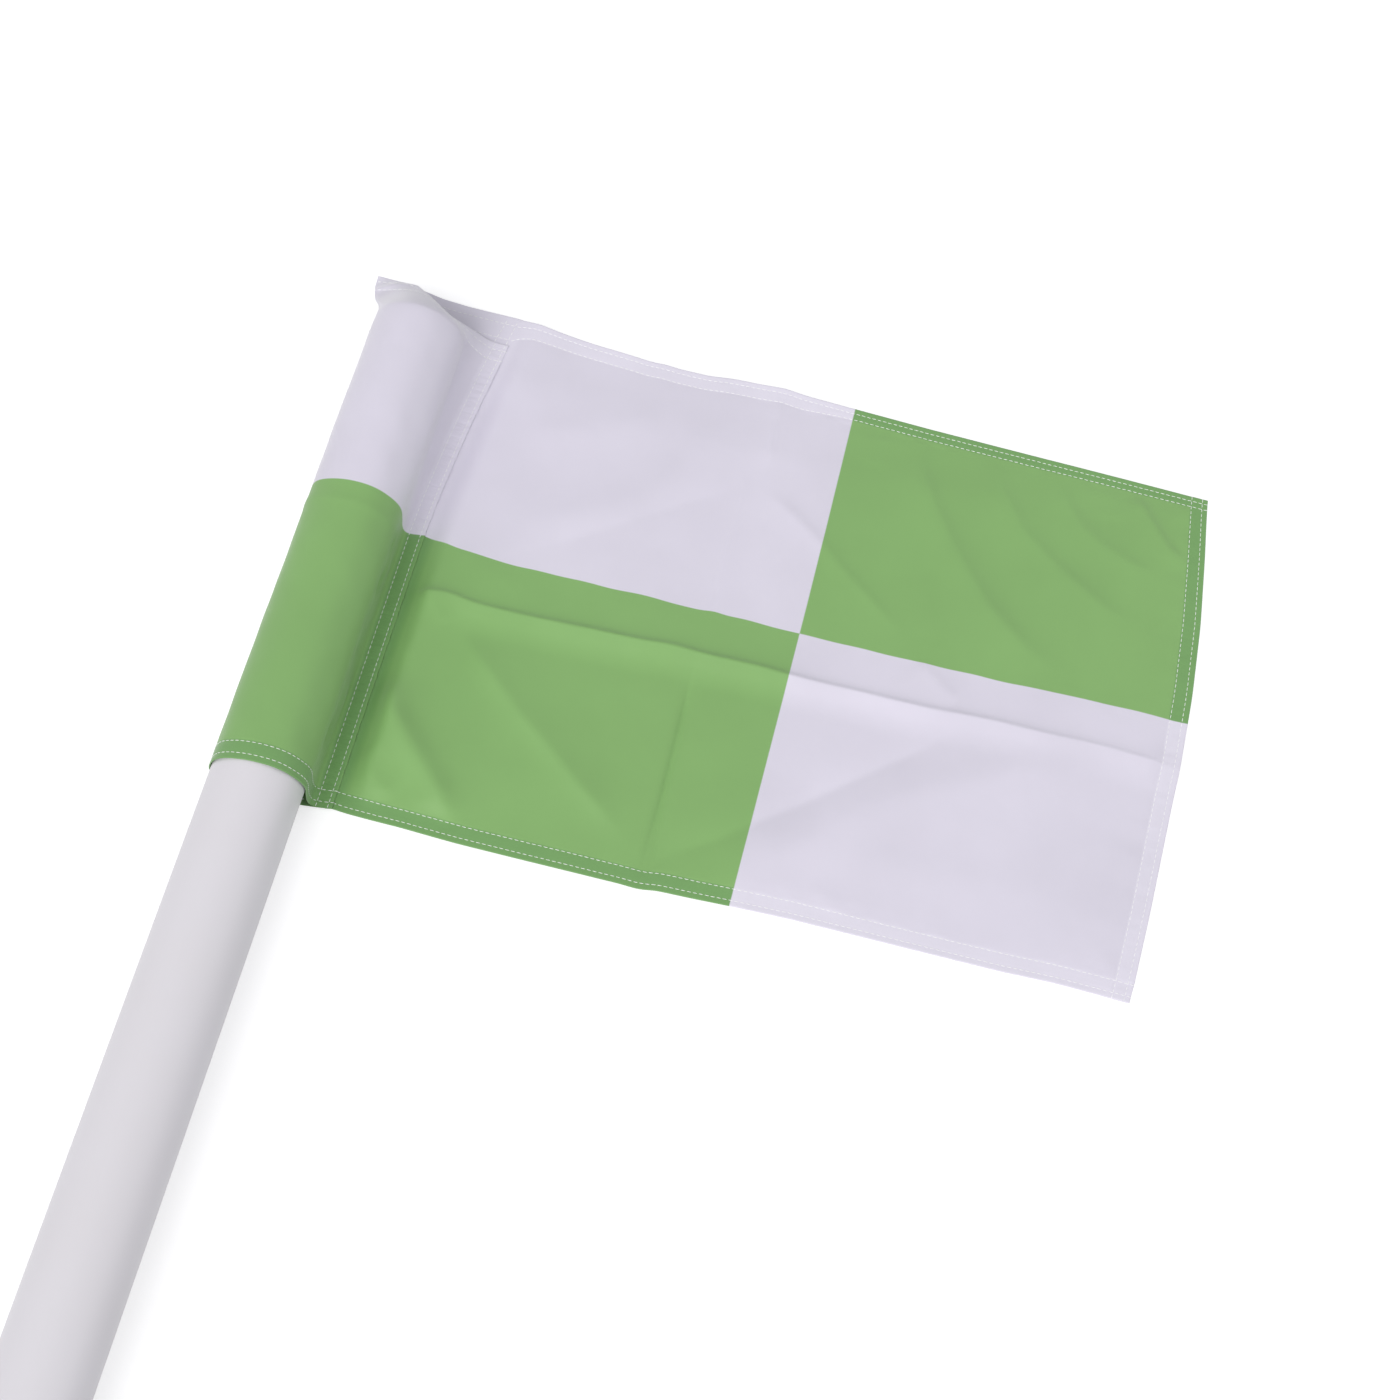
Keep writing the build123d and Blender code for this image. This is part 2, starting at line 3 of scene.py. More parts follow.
import bpy
import numpy as np
from mathutils import Matrix, Vector


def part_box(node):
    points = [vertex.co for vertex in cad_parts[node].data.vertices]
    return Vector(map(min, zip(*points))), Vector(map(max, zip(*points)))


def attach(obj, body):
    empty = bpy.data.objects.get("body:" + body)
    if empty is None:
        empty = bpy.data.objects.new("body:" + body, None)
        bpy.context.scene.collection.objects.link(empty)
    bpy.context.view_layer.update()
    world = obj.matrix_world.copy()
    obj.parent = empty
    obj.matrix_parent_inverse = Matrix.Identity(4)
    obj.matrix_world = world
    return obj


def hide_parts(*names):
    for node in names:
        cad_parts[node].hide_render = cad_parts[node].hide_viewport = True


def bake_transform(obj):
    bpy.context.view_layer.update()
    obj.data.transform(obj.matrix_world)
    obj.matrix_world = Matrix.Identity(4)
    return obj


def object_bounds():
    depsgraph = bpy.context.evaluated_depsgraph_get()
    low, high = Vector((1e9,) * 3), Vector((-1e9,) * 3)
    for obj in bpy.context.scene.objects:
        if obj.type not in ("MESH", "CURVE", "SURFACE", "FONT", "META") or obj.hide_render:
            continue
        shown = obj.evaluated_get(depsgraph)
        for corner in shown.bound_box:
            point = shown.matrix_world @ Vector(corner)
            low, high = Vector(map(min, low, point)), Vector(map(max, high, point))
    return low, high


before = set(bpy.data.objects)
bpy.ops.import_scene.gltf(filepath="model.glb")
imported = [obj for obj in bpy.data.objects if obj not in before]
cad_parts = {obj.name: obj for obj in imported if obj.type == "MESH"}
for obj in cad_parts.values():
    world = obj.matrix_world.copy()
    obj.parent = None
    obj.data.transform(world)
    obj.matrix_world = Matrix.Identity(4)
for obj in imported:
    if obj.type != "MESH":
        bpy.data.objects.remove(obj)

mm = 0.001
cad_low, cad_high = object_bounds()


def placed(name, data):
    """A new object of that name in the scene."""
    made = bpy.data.objects.new(name, data)
    bpy.context.scene.collection.objects.link(made)
    return made


def new_piece(name, verts, edges, faces, finish=None):
    """A smooth mesh of that name in the scene."""
    mesh = bpy.data.meshes.new(name)
    mesh.from_pydata(verts, edges, faces)
    mesh.shade_smooth()
    if finish:
        mesh.materials.append(finish)
    return placed(name, mesh)


def keep_result(piece, modifier):
    """Gives a piece the mesh that its modifier makes, in place of the modifier."""
    view = bpy.context.evaluated_depsgraph_get()
    mesh = bpy.data.meshes.new_from_object(piece.evaluated_get(view))
    piece.modifiers.remove(modifier)
    piece.data = mesh


# Camera: it looks down on the flag from the pole's lower side, as the
# photographer stood over the floor that the flag lies on.
camera_place = Vector((0.2825, 0.9113, 1.0993))
picture_right = Vector((0.96995, 0.23856, 0.04775))
picture_down = Vector((0.23645, -0.87812, -0.41592))
look_along = Vector((-0.05730, 0.41472, -0.90815))
camera_turn = Matrix((picture_right, -picture_down, -look_along)).transposed()
camera = bpy.data.cameras.new("camera")
camera.lens = 57.86
camera.sensor_width = 36
camera_object = placed("camera", camera)
camera_object.matrix_world = Matrix.LocRotScale(camera_place, camera_turn.to_quaternion(), None)
bpy.context.scene.camera = camera_object
bpy.context.scene.view_settings.view_transform = "Standard"

# Studio: a white floor that keeps a faint shadow, one large soft lamp from
# the pole's lower end, a weak wide one from the fly's side, and an even grey
# light from all round.
floor_gap = 0.2 * mm
floor_half = 6.0
floor_grey = (0.55, 0.55, 0.56, 1)
floor_glow_strength = 0.62
surround_colour = (0.97, 0.98, 1.0, 1)
surround_strength = 0.59
lamp_colour = (1.0, 0.985, 0.97)
# Each lamp: its name, strength, width in degrees, and where its light is from.
lamps = (
    ("softbox", 1.85, 35, (-0.24, -0.72, 0.65)),
    ("reflector", 0.30, 50, (0.86, -0.12, 0.42)),
)


def show_background(tree, lighting, shown, output):
    """Camera rays and those of metal and glass meet one shader, the rest another."""
    ray_kind = tree.nodes.new("ShaderNodeLightPath")
    is_shown = ray_kind.outputs["Is Camera Ray"]
    for kind in ("Is Glossy Ray", "Is Transmission Ray"):
        either = tree.nodes.new("ShaderNodeMath")
        either.operation = "MAXIMUM"
        tree.links.new(is_shown, either.inputs[0])
        tree.links.new(ray_kind.outputs[kind], either.inputs[1])
        is_shown = either.outputs[0]
    mix = tree.nodes.new("ShaderNodeMixShader")
    for slot, socket in enumerate((is_shown, lighting.outputs[0], shown.outputs[0])):
        tree.links.new(socket, mix.inputs[slot])
    tree.links.new(mix.outputs[0], output.inputs[0])


floor_level = cad_low.z - floor_gap
floor_corners = ((-1, -1), (1, -1), (1, 1), (-1, 1))
floor_mesh = bpy.data.meshes.new("studio_floor")
floor_mesh.from_pydata(
    [(x * floor_half, y * floor_half, floor_level) for x, y in floor_corners], [], [(0, 1, 2, 3)]
)
studio_floor = placed("studio_floor", floor_mesh)
floor_paint = bpy.data.materials.new("studio_floor_paint")
floor_paint.use_nodes = True
tree = floor_paint.node_tree
tree.nodes.clear()
floor_output = tree.nodes.new("ShaderNodeOutputMaterial")
floor_matt = tree.nodes.new("ShaderNodeBsdfDiffuse")
floor_matt.inputs["Color"].default_value = floor_grey
floor_glow = tree.nodes.new("ShaderNodeEmission")
floor_glow.inputs["Strength"].default_value = floor_glow_strength
floor_seen = tree.nodes.new("ShaderNodeAddShader")
tree.links.new(floor_matt.outputs[0], floor_seen.inputs[0])
tree.links.new(floor_glow.outputs[0], floor_seen.inputs[1])
show_background(tree, floor_matt, floor_seen, floor_output)
floor_mesh.materials.append(floor_paint)

world = bpy.data.worlds.new("studio")
bpy.context.scene.world = world
world.use_nodes = True
tree = world.node_tree
tree.nodes.clear()
world_output = tree.nodes.new("ShaderNodeOutputWorld")
surround = tree.nodes.new("ShaderNodeBackground")
surround.inputs["Color"].default_value = surround_colour
surround.inputs["Strength"].default_value = surround_strength
backdrop = tree.nodes.new("ShaderNodeBackground")
backdrop.inputs["Color"].default_value = (1, 1, 1, 1)
show_background(tree, surround, backdrop, world_output)

for lamp_name, lamp_power, lamp_width, light_from in lamps:
    lamp = bpy.data.lights.new(lamp_name, "SUN")
    lamp.energy = lamp_power
    lamp.angle = radians(lamp_width)
    lamp.color = lamp_colour
    lamp_object = placed(lamp_name, lamp)
    lamp_object.rotation_euler = Vector(light_from).to_track_quat("Z", "Y").to_euler()


# Finishes: colour, gloss and relief come from noise on the object's own
# coordinates, so only the cloth has UVs.
def new_finish(name, colour, metallic, roughness):
    """A material with one principled shader, and its tree."""
    finish = bpy.data.materials.new(name)
    finish.use_nodes = True
    nodes = finish.node_tree.nodes
    shader = nodes["Principled BSDF"]
    shader.inputs["Base Color"].default_value = (*colour, 1)
    shader.inputs["Metallic"].default_value = metallic
    shader.inputs["Roughness"].default_value = roughness
    return finish, finish.node_tree, shader


def object_noise(tree, scale, detail=3.0, stretch=(1, 1, 1)):
    """Noise on object coordinates. Returns its output socket."""
    place = tree.nodes.new("ShaderNodeTexCoord")
    mapping = tree.nodes.new("ShaderNodeMapping")
    mapping.inputs["Scale"].default_value = stretch
    noise = tree.nodes.new("ShaderNodeTexNoise")
    noise.inputs["Scale"].default_value = scale
    noise.inputs["Detail"].default_value = detail
    tree.links.new(place.outputs["Object"], mapping.inputs["Vector"])
    tree.links.new(mapping.outputs["Vector"], noise.inputs["Vector"])
    return noise.outputs["Fac"]


def between_colours(tree, factor, stops):
    """A colour ramp over a factor. Stops are (place, colour)."""
    ramp = tree.nodes.new("ShaderNodeValToRGB")
    while len(ramp.color_ramp.elements) < len(stops):
        ramp.color_ramp.elements.new(0.5)
    for element, (place, colour) in zip(ramp.color_ramp.elements, stops):
        element.position = place
        element.color = (*colour, 1)
    tree.links.new(factor, ramp.inputs["Fac"])
    return ramp.outputs["Color"]


def between_values(tree, factor, low, high, from_low=0.3, from_high=0.7):
    """Maps a factor to a range of numbers."""
    spread = tree.nodes.new("ShaderNodeMapRange")
    spread.inputs["From Min"].default_value = from_low
    spread.inputs["From Max"].default_value = from_high
    spread.inputs["To Min"].default_value = low
    spread.inputs["To Max"].default_value = high
    tree.links.new(factor, spread.inputs["Value"])
    return spread.outputs["Result"]


def bumped(tree, shader, height, distance, strength=1.0):
    """Puts a bump of that height in metres on the shader."""
    bump = tree.nodes.new("ShaderNodeBump")
    bump.inputs["Distance"].default_value = distance
    bump.inputs["Strength"].default_value = strength
    tree.links.new(height, bump.inputs["Height"])
    tree.links.new(bump.outputs["Normal"], shader.inputs["Normal"])


def repaint(node, finish):
    """Gives a CAD node a finish in place of its plain one."""
    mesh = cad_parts[node].data
    mesh.materials.clear()
    mesh.materials.append(finish)


def mixed(tree, factor, first, second):
    """A colour mix. Each colour is a socket or three numbers."""
    node = tree.nodes.new("ShaderNodeMix")
    node.data_type = "RGBA"
    tree.links.new(factor, node.inputs[0])
    for slot, value in ((6, first), (7, second)):
        if isinstance(value, tuple):
            node.inputs[slot].default_value = (*value, 1)
        else:
            tree.links.new(value, node.inputs[slot])
    return node.outputs[2]


def uneven_gloss(tree, shader, scale, low, high, detail=4, stretch=(1, 1, 1)):
    """Roughness between two values over noise of that scale."""
    noise = object_noise(tree, scale, detail, stretch)
    tree.links.new(between_values(tree, noise, low, high), shader.inputs["Roughness"])


def mottled(tree, shader, scale, detail, stops):
    """Base colour from stops over noise of that scale."""
    shade = between_colours(tree, object_noise(tree, scale, detail), stops)
    tree.links.new(shade, shader.inputs["Base Color"])


# Ground stake: plate, shaft, tip and head are mild steel, welded together and
# dipped in zinc, which leaves a dull spangled skin that soil has dirtied.
spangles_per_metre = 140
soil_brown = (0.20, 0.16, 0.11)
galvanised, tree, shader = new_finish("galvanised_steel", (0.5, 0.5, 0.51), 0.85, 0.5)
spangle = tree.nodes.new("ShaderNodeTexVoronoi")
spangle.inputs["Scale"].default_value = spangles_per_metre
place = tree.nodes.new("ShaderNodeTexCoord")
tree.links.new(place.outputs["Object"], spangle.inputs["Vector"])
spangle_shade = between_colours(
    tree,
    spangle.outputs["Color"],
    [(0.0, (0.40, 0.41, 0.42)), (0.5, (0.52, 0.53, 0.54)), (1.0, (0.62, 0.62, 0.62))],
)
soil = between_values(tree, object_noise(tree, 26, 5), 0.0, 0.55, 0.52, 0.75)
tree.links.new(mixed(tree, soil, spangle_shade, soil_brown), shader.inputs["Base Color"])
uneven_gloss(tree, shader, 60, 0.38, 0.66)
bumped(tree, shader, object_noise(tree, 220, 4), 0.25 * mm, 0.6)
for steel_node in ("step_plate", "stake_shaft", "stake_tip", "stake_head"):
    repaint(steel_node, galvanised)

# Weld beads: one round the shaft under the plate, one round the head on the
# plate, and one where the tip joins the shaft. Each is a ring of small scales.
shaft_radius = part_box("stake_shaft")[1].x
head_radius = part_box("stake_head")[1].x
plate_low, plate_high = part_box("step_plate")
tip_top_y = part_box("stake_shaft")[0].y
bead_scales = 44
steps_per_scale = 4
bead_sides = 10
scale_dip = 0.20


def tube_faces(rings, sides, closed):
    """Quads between neighbouring rings of vertices."""
    faces = []
    for ring in range(rings if closed else rings - 1):
        here = ring * sides
        after = (ring + 1) % rings * sides
        for side in range(sides):
            beside = (side + 1) % sides
            faces.append((here + side, after + side, after + beside, here + beside))
    return faces


def weld_ring(name, ring_radius, ring_y, leg):
    """A bead of overlapping scales round the stake's axis."""
    steps = bead_scales * steps_per_scale
    verts = []
    for step in range(steps):
        turn = 2 * pi * step / steps
        scale = 1 - scale_dip + scale_dip * abs(sin(turn * bead_scales / 2))
        for side in range(bead_sides):
            tilt = 2 * pi * side / bead_sides
            out = ring_radius + leg * scale * cos(tilt)
            verts.append((out * cos(turn), ring_y - leg * scale * sin(tilt), out * sin(turn)))
    bead = new_piece(name, verts, [], tube_faces(steps, bead_sides, closed=True), galvanised)
    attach(bead, "stake")


weld_ring("weld_under_plate", shaft_radius + 0.4 * mm, plate_low.y - 0.4 * mm, leg=1.6 * mm)
weld_ring("weld_on_plate", head_radius + 0.3 * mm, plate_high.y + 0.3 * mm, leg=1.8 * mm)
weld_ring("weld_at_tip", shaft_radius - 0.6 * mm, tip_top_y, leg=1.3 * mm)

# Studs, nuts, washer and screws: turned steel with bright zinc plating, which
# keeps fine turning marks round each piece's own axis.
plated, tree, shader = new_finish("zinc_plating", (0.66, 0.67, 0.69), 1.0, 0.3)
uneven_gloss(tree, shader, 90, 0.22, 0.40)
mottled(tree, shader, 35, 3, [(0.3, (0.58, 0.59, 0.62)), (0.7, (0.72, 0.72, 0.71))])
bumped(tree, shader, object_noise(tree, 900, 2, (1, 6, 1)), 0.06 * mm, 0.5)
for plated_node in (
    "lower_stud_nut",
    "lower_spring_stud",
    "upper_spring_stud",
    "upper_stud_washer",
    "upper_stud_nut",
    "pole_foot_screws",
):
    repaint(plated_node, plated)

# Tilt spring: round spring wire wound in one open helix, black from its
# tempering oil, with rubbed places on the outside of its turns.
wire_radius = 3.25 * mm
coil_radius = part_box("tilt_spring")[1].x - wire_radius
spring_turns = 12
spring_pitch = 7.6 * mm
spring_start = 43.45 * mm
wire_sides = 20
steps_per_turn = 64
end_rings = 4
end_edge = 0.25 * wire_radius


def spring_frame(turn):
    """Centre, outward, upward and forward directions of the wire at an angle."""
    rise = spring_pitch / (2 * pi)
    centre = Vector((coil_radius * cos(turn), spring_start + rise * turn, coil_radius * sin(turn)))
    along = Vector((-coil_radius * sin(turn), rise, coil_radius * cos(turn)))
    out = Vector((cos(turn), 0, sin(turn)))
    along.normalize()
    return centre, out, along.cross(out), along


# The wire's rings: their angles, and their places in its two rounded ends.
ring_plan = [(0.0, -s) for s in range(end_rings, 0, -1)]
ring_plan += [(2 * pi * i / steps_per_turn, 0) for i in range(spring_turns * steps_per_turn + 1)]
ring_plan += [(2 * pi * spring_turns, s) for s in range(1, end_rings + 1)]
verts = []
for turn, beyond in ring_plan:
    centre, out, up, along = spring_frame(turn)
    quarter = pi / 2 * abs(beyond) / end_rings
    ring_size = wire_radius - end_edge * (1 - cos(quarter))
    shift = end_edge * (sin(quarter) - 1) * (1 if beyond > 0 else -1) if beyond else 0
    for side in range(wire_sides):
        tilt = 2 * pi * side / wire_sides
        verts.append(centre + out * ring_size * cos(tilt) + up * ring_size * sin(tilt) + along * shift)
faces = tube_faces(len(ring_plan), wire_sides, closed=False)
faces.append(tuple(range(wire_sides)))
faces.append(tuple(reversed(range(len(verts) - wire_sides, len(verts)))))
spring_black, tree, shader = new_finish("oil_black_spring", (0.03, 0.03, 0.032), 0.6, 0.4)
rubbed = [(0.40, (0.020, 0.020, 0.022)), (0.62, (0.045, 0.044, 0.043)), (0.78, (0.16, 0.15, 0.14))]
mottled(tree, shader, 70, 5, rubbed)
uneven_gloss(tree, shader, 130, 0.26, 0.52)
bumped(tree, shader, object_noise(tree, 500, 3), 0.08 * mm, 0.6)
spring_wire = new_piece("spring_wire", verts, [], faces, spring_black)
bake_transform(spring_wire)
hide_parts("tilt_spring")

# Pole foot plug: injection moulded black plastic, pushed into the tube, with a
# fine spark-eroded grain on its flange.
plug_black, tree, shader = new_finish("moulded_black", (0.025, 0.025, 0.027), 0.0, 0.45)
uneven_gloss(tree, shader, 45, 0.38, 0.56)
mottled(tree, shader, 24, 4, [(0.35, (0.020, 0.020, 0.022)), (0.70, (0.045, 0.043, 0.040))])
bumped(tree, shader, object_noise(tree, 1400, 2), 0.05 * mm, 0.5)
repaint("pole_foot_plug", plug_black)

# Pole and its end cap: white plastic tube, extruded, so it has faint lines
# along its length, a soft gloss and a little grime where it was handled.
clean_white = (0.72, 0.70, 0.74)
grime_grey = (0.60, 0.57, 0.55)
pole_white, tree, shader = new_finish("pole_white_plastic", clean_white, 0.0, 0.36)
grime = between_values(tree, object_noise(tree, 9, 6), 0.0, 0.16, 0.50, 0.80)
tree.links.new(mixed(tree, grime, clean_white, grime_grey), shader.inputs["Base Color"])
uneven_gloss(tree, shader, 30, 0.30, 0.46, 5, (1, 0.15, 1))
bumped(tree, shader, object_noise(tree, 260, 3, (1, 0.03, 1)), 0.06 * mm, 0.5)
repaint("pole_tube", pole_white)
repaint("pole_top_cap", pole_white)

# Flag cloth: satin polyester, printed through with a green and white check and
# cut with hem allowances. One end is led under the pole, round it and over it,
# and is sewn down on the panel, so panel and sleeve are one sheet. Both meshes
# are parts of that sheet and meet under the seam. Heights on the flag are from
# its foot, which is 3 mm over the lower edge's lowest point.
cloth_layer = 0.4 * mm
cloth_thick = 0.33 * mm
foot_sag = 3.0 * mm
floor_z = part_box("sleeve_bottom_hem")[0].z
foot_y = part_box("bottom_hem")[0].y + foot_sag
pole_end_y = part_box("pole_tube")[1].y
hem_wide = 10.5 * mm
hem_inner_row = 9.7 * mm
hem_outer_row = 3.0 * mm
panel_level = floor_z + 0.7 * mm
panel_width = 438.5 * mm
cloth_rise = 322 * mm
print_share = 0.522
print_column = 218.4 * mm

top_edge = np.array(
    [(36, 325.5), (50, 325), (61, 324), (79, 322), (97, 320), (114, 319), (132, 317.4),
     (140, 317.8), (149, 317), (166, 317), (182, 319), (198, 319.6), (212, 320.6), (226, 319),
     (250, 318), (301, 316), (343, 315), (427, 313), (466, 312), (478, 312)]
) * mm
foot_edge = np.array(
    [(27, 0), (42, -2), (74, -2), (105, -3), (136, -3), (195, -2.8), (206, -3.2), (216, -1.6),
     (235, -1), (257, 0), (288, 1), (401, 1), (431, 2), (480, 1)]
) * mm
fly_edge = np.array(
    [(470, 0), (471, 7), (472, 28), (473, 48), (474, 80), (475, 113), (476, 135), (476, 180),
     (475, 203), (474, 226), (472, 249), (470, 272), (467.5, 296), (466, 312)]
) * mm
print_line = np.array(
    [(25, 170.5), (40, 167), (61, 165), (92, 163.5), (142, 164), (200, 164), (206, 165.2),
     (214, 164), (255, 164), (304, 164), (352, 164), (407, 166), (476, 168)]
) * mm


curve_taps = 9
waves_each = 3
wave_gain = 1.6


def smooth_curve(points, at, spread):
    """A table's value at each place, averaged over a short spread."""
    shifts = np.linspace(-spread, spread, curve_taps)
    return sum(np.interp(at + s, points[:, 0], points[:, 1]) for s in shifts) / curve_taps


def rising(value, start, width):
    """0 up to the start and 1 past the width, with a smooth rise between them."""
    share = np.clip((value - start) / width, 0, 1)
    return share * share * (3 - 2 * share)


def bell(distance, width):
    """1 at no distance, and almost 0 from twice the width on."""
    return np.exp(-((distance / width) ** 2))


def unit(vectors):
    """The vectors at length 1."""
    return vectors / np.maximum(np.linalg.norm(vectors, axis=-1, keepdims=True), 1e-12)


def ripples(seed, wavelengths, x, y=None):
    """Even random waves, about 1 at their most, along x or else in all directions."""
    draw = np.random.RandomState(seed)
    total = 0
    for wavelength in wavelengths:
        for _ in range(waves_each):
            heading = 0 if y is None else draw.uniform(0, pi)
            phase = draw.uniform(0, 2 * pi)
            length = wavelength * draw.uniform(0.8, 1.25)
            forward = x if y is None else x * cos(heading) + y * sin(heading)
            total = total + np.sin(2 * pi * forward / length + phase)
    return total / (waves_each * len(wavelengths)) * wave_gain


# Each fold is a line of points on the floor from the flag's foot, in mm, then
# the height of its crest, its reach above and below the line, and how blunt
# its crest is.
folds = [
    ([(92, 170), (132, 198), (172, 226), (206, 250)], -0.7, 6, 10, 1.0),
    ([(78, 188), (118, 203), (150, 226), (172, 252), (184, 296)], 1.5, 10, 16, 8.0),
    ([(70, 250), (112, 262), (150, 284)], 1.2, 9, 12, 7.0),
    ([(214, 250), (230, 241), (254, 224), (268, 212), (290, 195), (312, 178)], 1.3, 4, 7, 1.0),
    ([(296, 304), (304, 280), (313, 263), (331, 237), (355, 208), (381, 187), (400, 178)],
     2.7, 6, 26, 2.2),
    ([(344, 304), (351, 284), (365, 262), (391, 242), (421, 224), (438, 220)],
     1.7, 4.5, 18, 1.6),
    ([(383, 303), (388, 286), (398, 274), (412, 264), (430, 257), (448, 255)],
     1.3, 4.5, 14, 1.3),
    ([(424, 306), (434, 292), (441, 283), (449, 274), (460, 267)], 1.5, 2.2, 12, 0.5),
    ([(276, 306), (277, 292), (275, 280)], 0.6, 4, 10, 1.5),
    ([(410, 306), (413, 295), (415, 282)], 0.4, 4, 8, 1.5),
    ([(314, 222), (323, 200), (325, 178)], 0.5, 5, 12, 3.0),
    ([(72, 118), (85, 107), (100, 93), (120, 76), (140, 61), (160, 45), (180, 31), (194, 20)],
     3.3, 15, 7.5, 1.2),
    ([(36, 84), (52, 59), (70, 40), (87, 23), (103, 4)], 5.4, 6.5, 6.5, 5.0),
    ([(38, 36), (48, 24), (66, 10)], 2.0, 6, 7, 3.0),
    ([(203.6, 128), (204.6, 100), (205.4, 60), (205.8, 24), (207.5, 8), (208, -4)],
     -2.5, 3.2, 2.0, 0.5),
    ([(212.5, 322), (212.5, 296), (213.5, 262)], 1.0, 4.5, 6, 0.5),
    ([(206, 258), (205, 230), (205, 200), (206.5, 150)], 0.5, 4, 4, 0.6),
    ([(208, 10), (222, 22), (240, 34), (258, 49), (280, 66), (300, 83), (320, 100), (338, 115),
      (352, 130)], -2.0, 9, 10, 0.6),
    ([(246, 8), (276, 36), (310, 68), (345, 92), (392, 116), (450, 134)], 1.8, 13, 20, 6.0),
    ([(448, 30), (452, 60), (462, 92)], 0.8, 8, 14, 5.0),
    ([(322, 165), (334, 156), (350, 144)], 1.0, 4, 9, 1.5),
    ([(46, 136), (55, 128), (66, 118)], 0.9, 5, 6, 2.0),
    ([(56, 168), (72, 156), (96, 152)], 0.9, 9, 12, 5.0),
    ([(294, 22), (306, 14), (316, 8)], 0.5, 5, 7, 3.0),
]
crease_line = np.array(
    [(30, 133.6), (50, 133.8), (62, 136), (76, 133.8), (100, 133.8), (130, 134.6), (170, 135.8),
     (190, 137.6), (210, 136.2), (235, 136.8), (275, 136.8), (340, 137.2), (380, 139.2),
     (420, 140.6), (480, 140.4)]
) * mm
crease_height = np.array(
    [(30, 1.0), (42, 3.4), (60, 4.2), (100, 4.6), (150, 5.4), (245, 5.4), (275, 4.2), (340, 4.2),
     (380, 3.6), (420, 2.3), (480, 2.2)]
) * mm


# A fold fades over a share of its line at each end, but keeps a little of its
# height, and its two reaches meet over the width of its ridge. Below the main
# crease a straight flank ends in a rounded foot. Above it the height falls in
# a short step and a long fade.
fold_taper = 0.22
fold_tail = 0.12
fold_ridge = 1.2 * mm
flank_run = 7 * mm
flank_foot = 13 * mm
step_share = 0.42
step_reach = 2.4 * mm
fade_reach = 46 * mm


def fold_heights(x, y):
    """Height of the folded panel over its lowest level, from the flag's foot."""
    height = np.zeros_like(x)
    for line, crest, above, below, blunt in folds:
        line = np.array(line, float) * mm
        lengths = np.hypot(*np.diff(line, axis=0).T)
        whole = lengths.sum()
        nearest = np.full(x.shape, 1e3)
        share = np.zeros_like(x)
        side = np.zeros_like(x)
        walked = 0
        for start, end, length in zip(line[:-1], line[1:], lengths):
            step = (end - start) / length
            t = np.clip((x - start[0]) * step[0] + (y - start[1]) * step[1], 0, length)
            from_x = x - start[0] - step[0] * t
            from_y = y - start[1] - step[1] * t
            away = np.hypot(from_x, from_y)
            closer = away < nearest
            nearest = np.where(closer, away, nearest)
            share = np.where(closer, (walked + t) / whole, share)
            side = np.where(closer, step[0] * from_y - step[1] * from_x, side)
            walked += length
        reach = below + (above - below) * rising(side, -fold_ridge / 2, fold_ridge)
        taper = rising(share, 0, fold_taper) * rising(1 - share, 0, fold_taper)
        blunted = np.sqrt(nearest**2 + (blunt * mm) ** 2) - blunt * mm
        kept = fold_tail + (1 - fold_tail) * taper
        height += crest * mm * np.exp(-blunted / (reach * mm)) * kept
    crease_y = smooth_curve(crease_line, x, 5 * mm)
    crest = smooth_curve(crease_height, x, 12 * mm)
    away = y - crease_y - 0.4 * mm * ripples(5, [0.06, 0.14], x)
    under = np.clip(-away, 0, 1)
    over = np.clip(away, 0, 1)
    fall = np.clip(under - flank_run, 0, flank_foot)
    slope_run = np.minimum(under, flank_run) + fall - fall**2 / (2 * flank_foot)
    below_side = crest * (1 - slope_run / (flank_run + flank_foot / 2))
    step_down = step_share * np.exp(-over / step_reach)
    above_side = crest * (step_down + (1 - step_share) * np.exp(-over / fade_reach))
    height += np.where(away > 0, above_side, below_side)
    height += 0.40 * mm * ripples(11, [0.07, 0.12, 0.2], x, y)
    height += 0.09 * mm * ripples(12, [0.022, 0.035], x, y)
    return height


pucker_waves = [0.0065, 0.0095, 0.014]
pucker_height = 0.16 * mm
pucker_reach = 4.5 * mm
gather_height = 0.187 * mm
gather_reach = 9 * mm
groove_depth = 0.13 * mm
groove_width = 0.8 * mm


def edge_puckers(along, away, seed):
    """Small gathers that the stitching draws into the cloth beside an edge."""
    puckers = pucker_height * ripples(seed, pucker_waves, along) * bell(away - 6.2 * mm, pucker_reach)
    gathers = gather_height * ripples(seed + 1, [0.016, 0.027], along)
    past_hem = np.clip(away - hem_wide, 0, 1)
    return puckers + gathers * np.exp(-past_hem / gather_reach) * (away > hem_wide)


def stitch_grooves(away, rows=(hem_outer_row, hem_inner_row)):
    """How far rows of stitches press the cloth down."""
    return -groove_depth * sum(bell(away - row, groove_width) for row in rows)


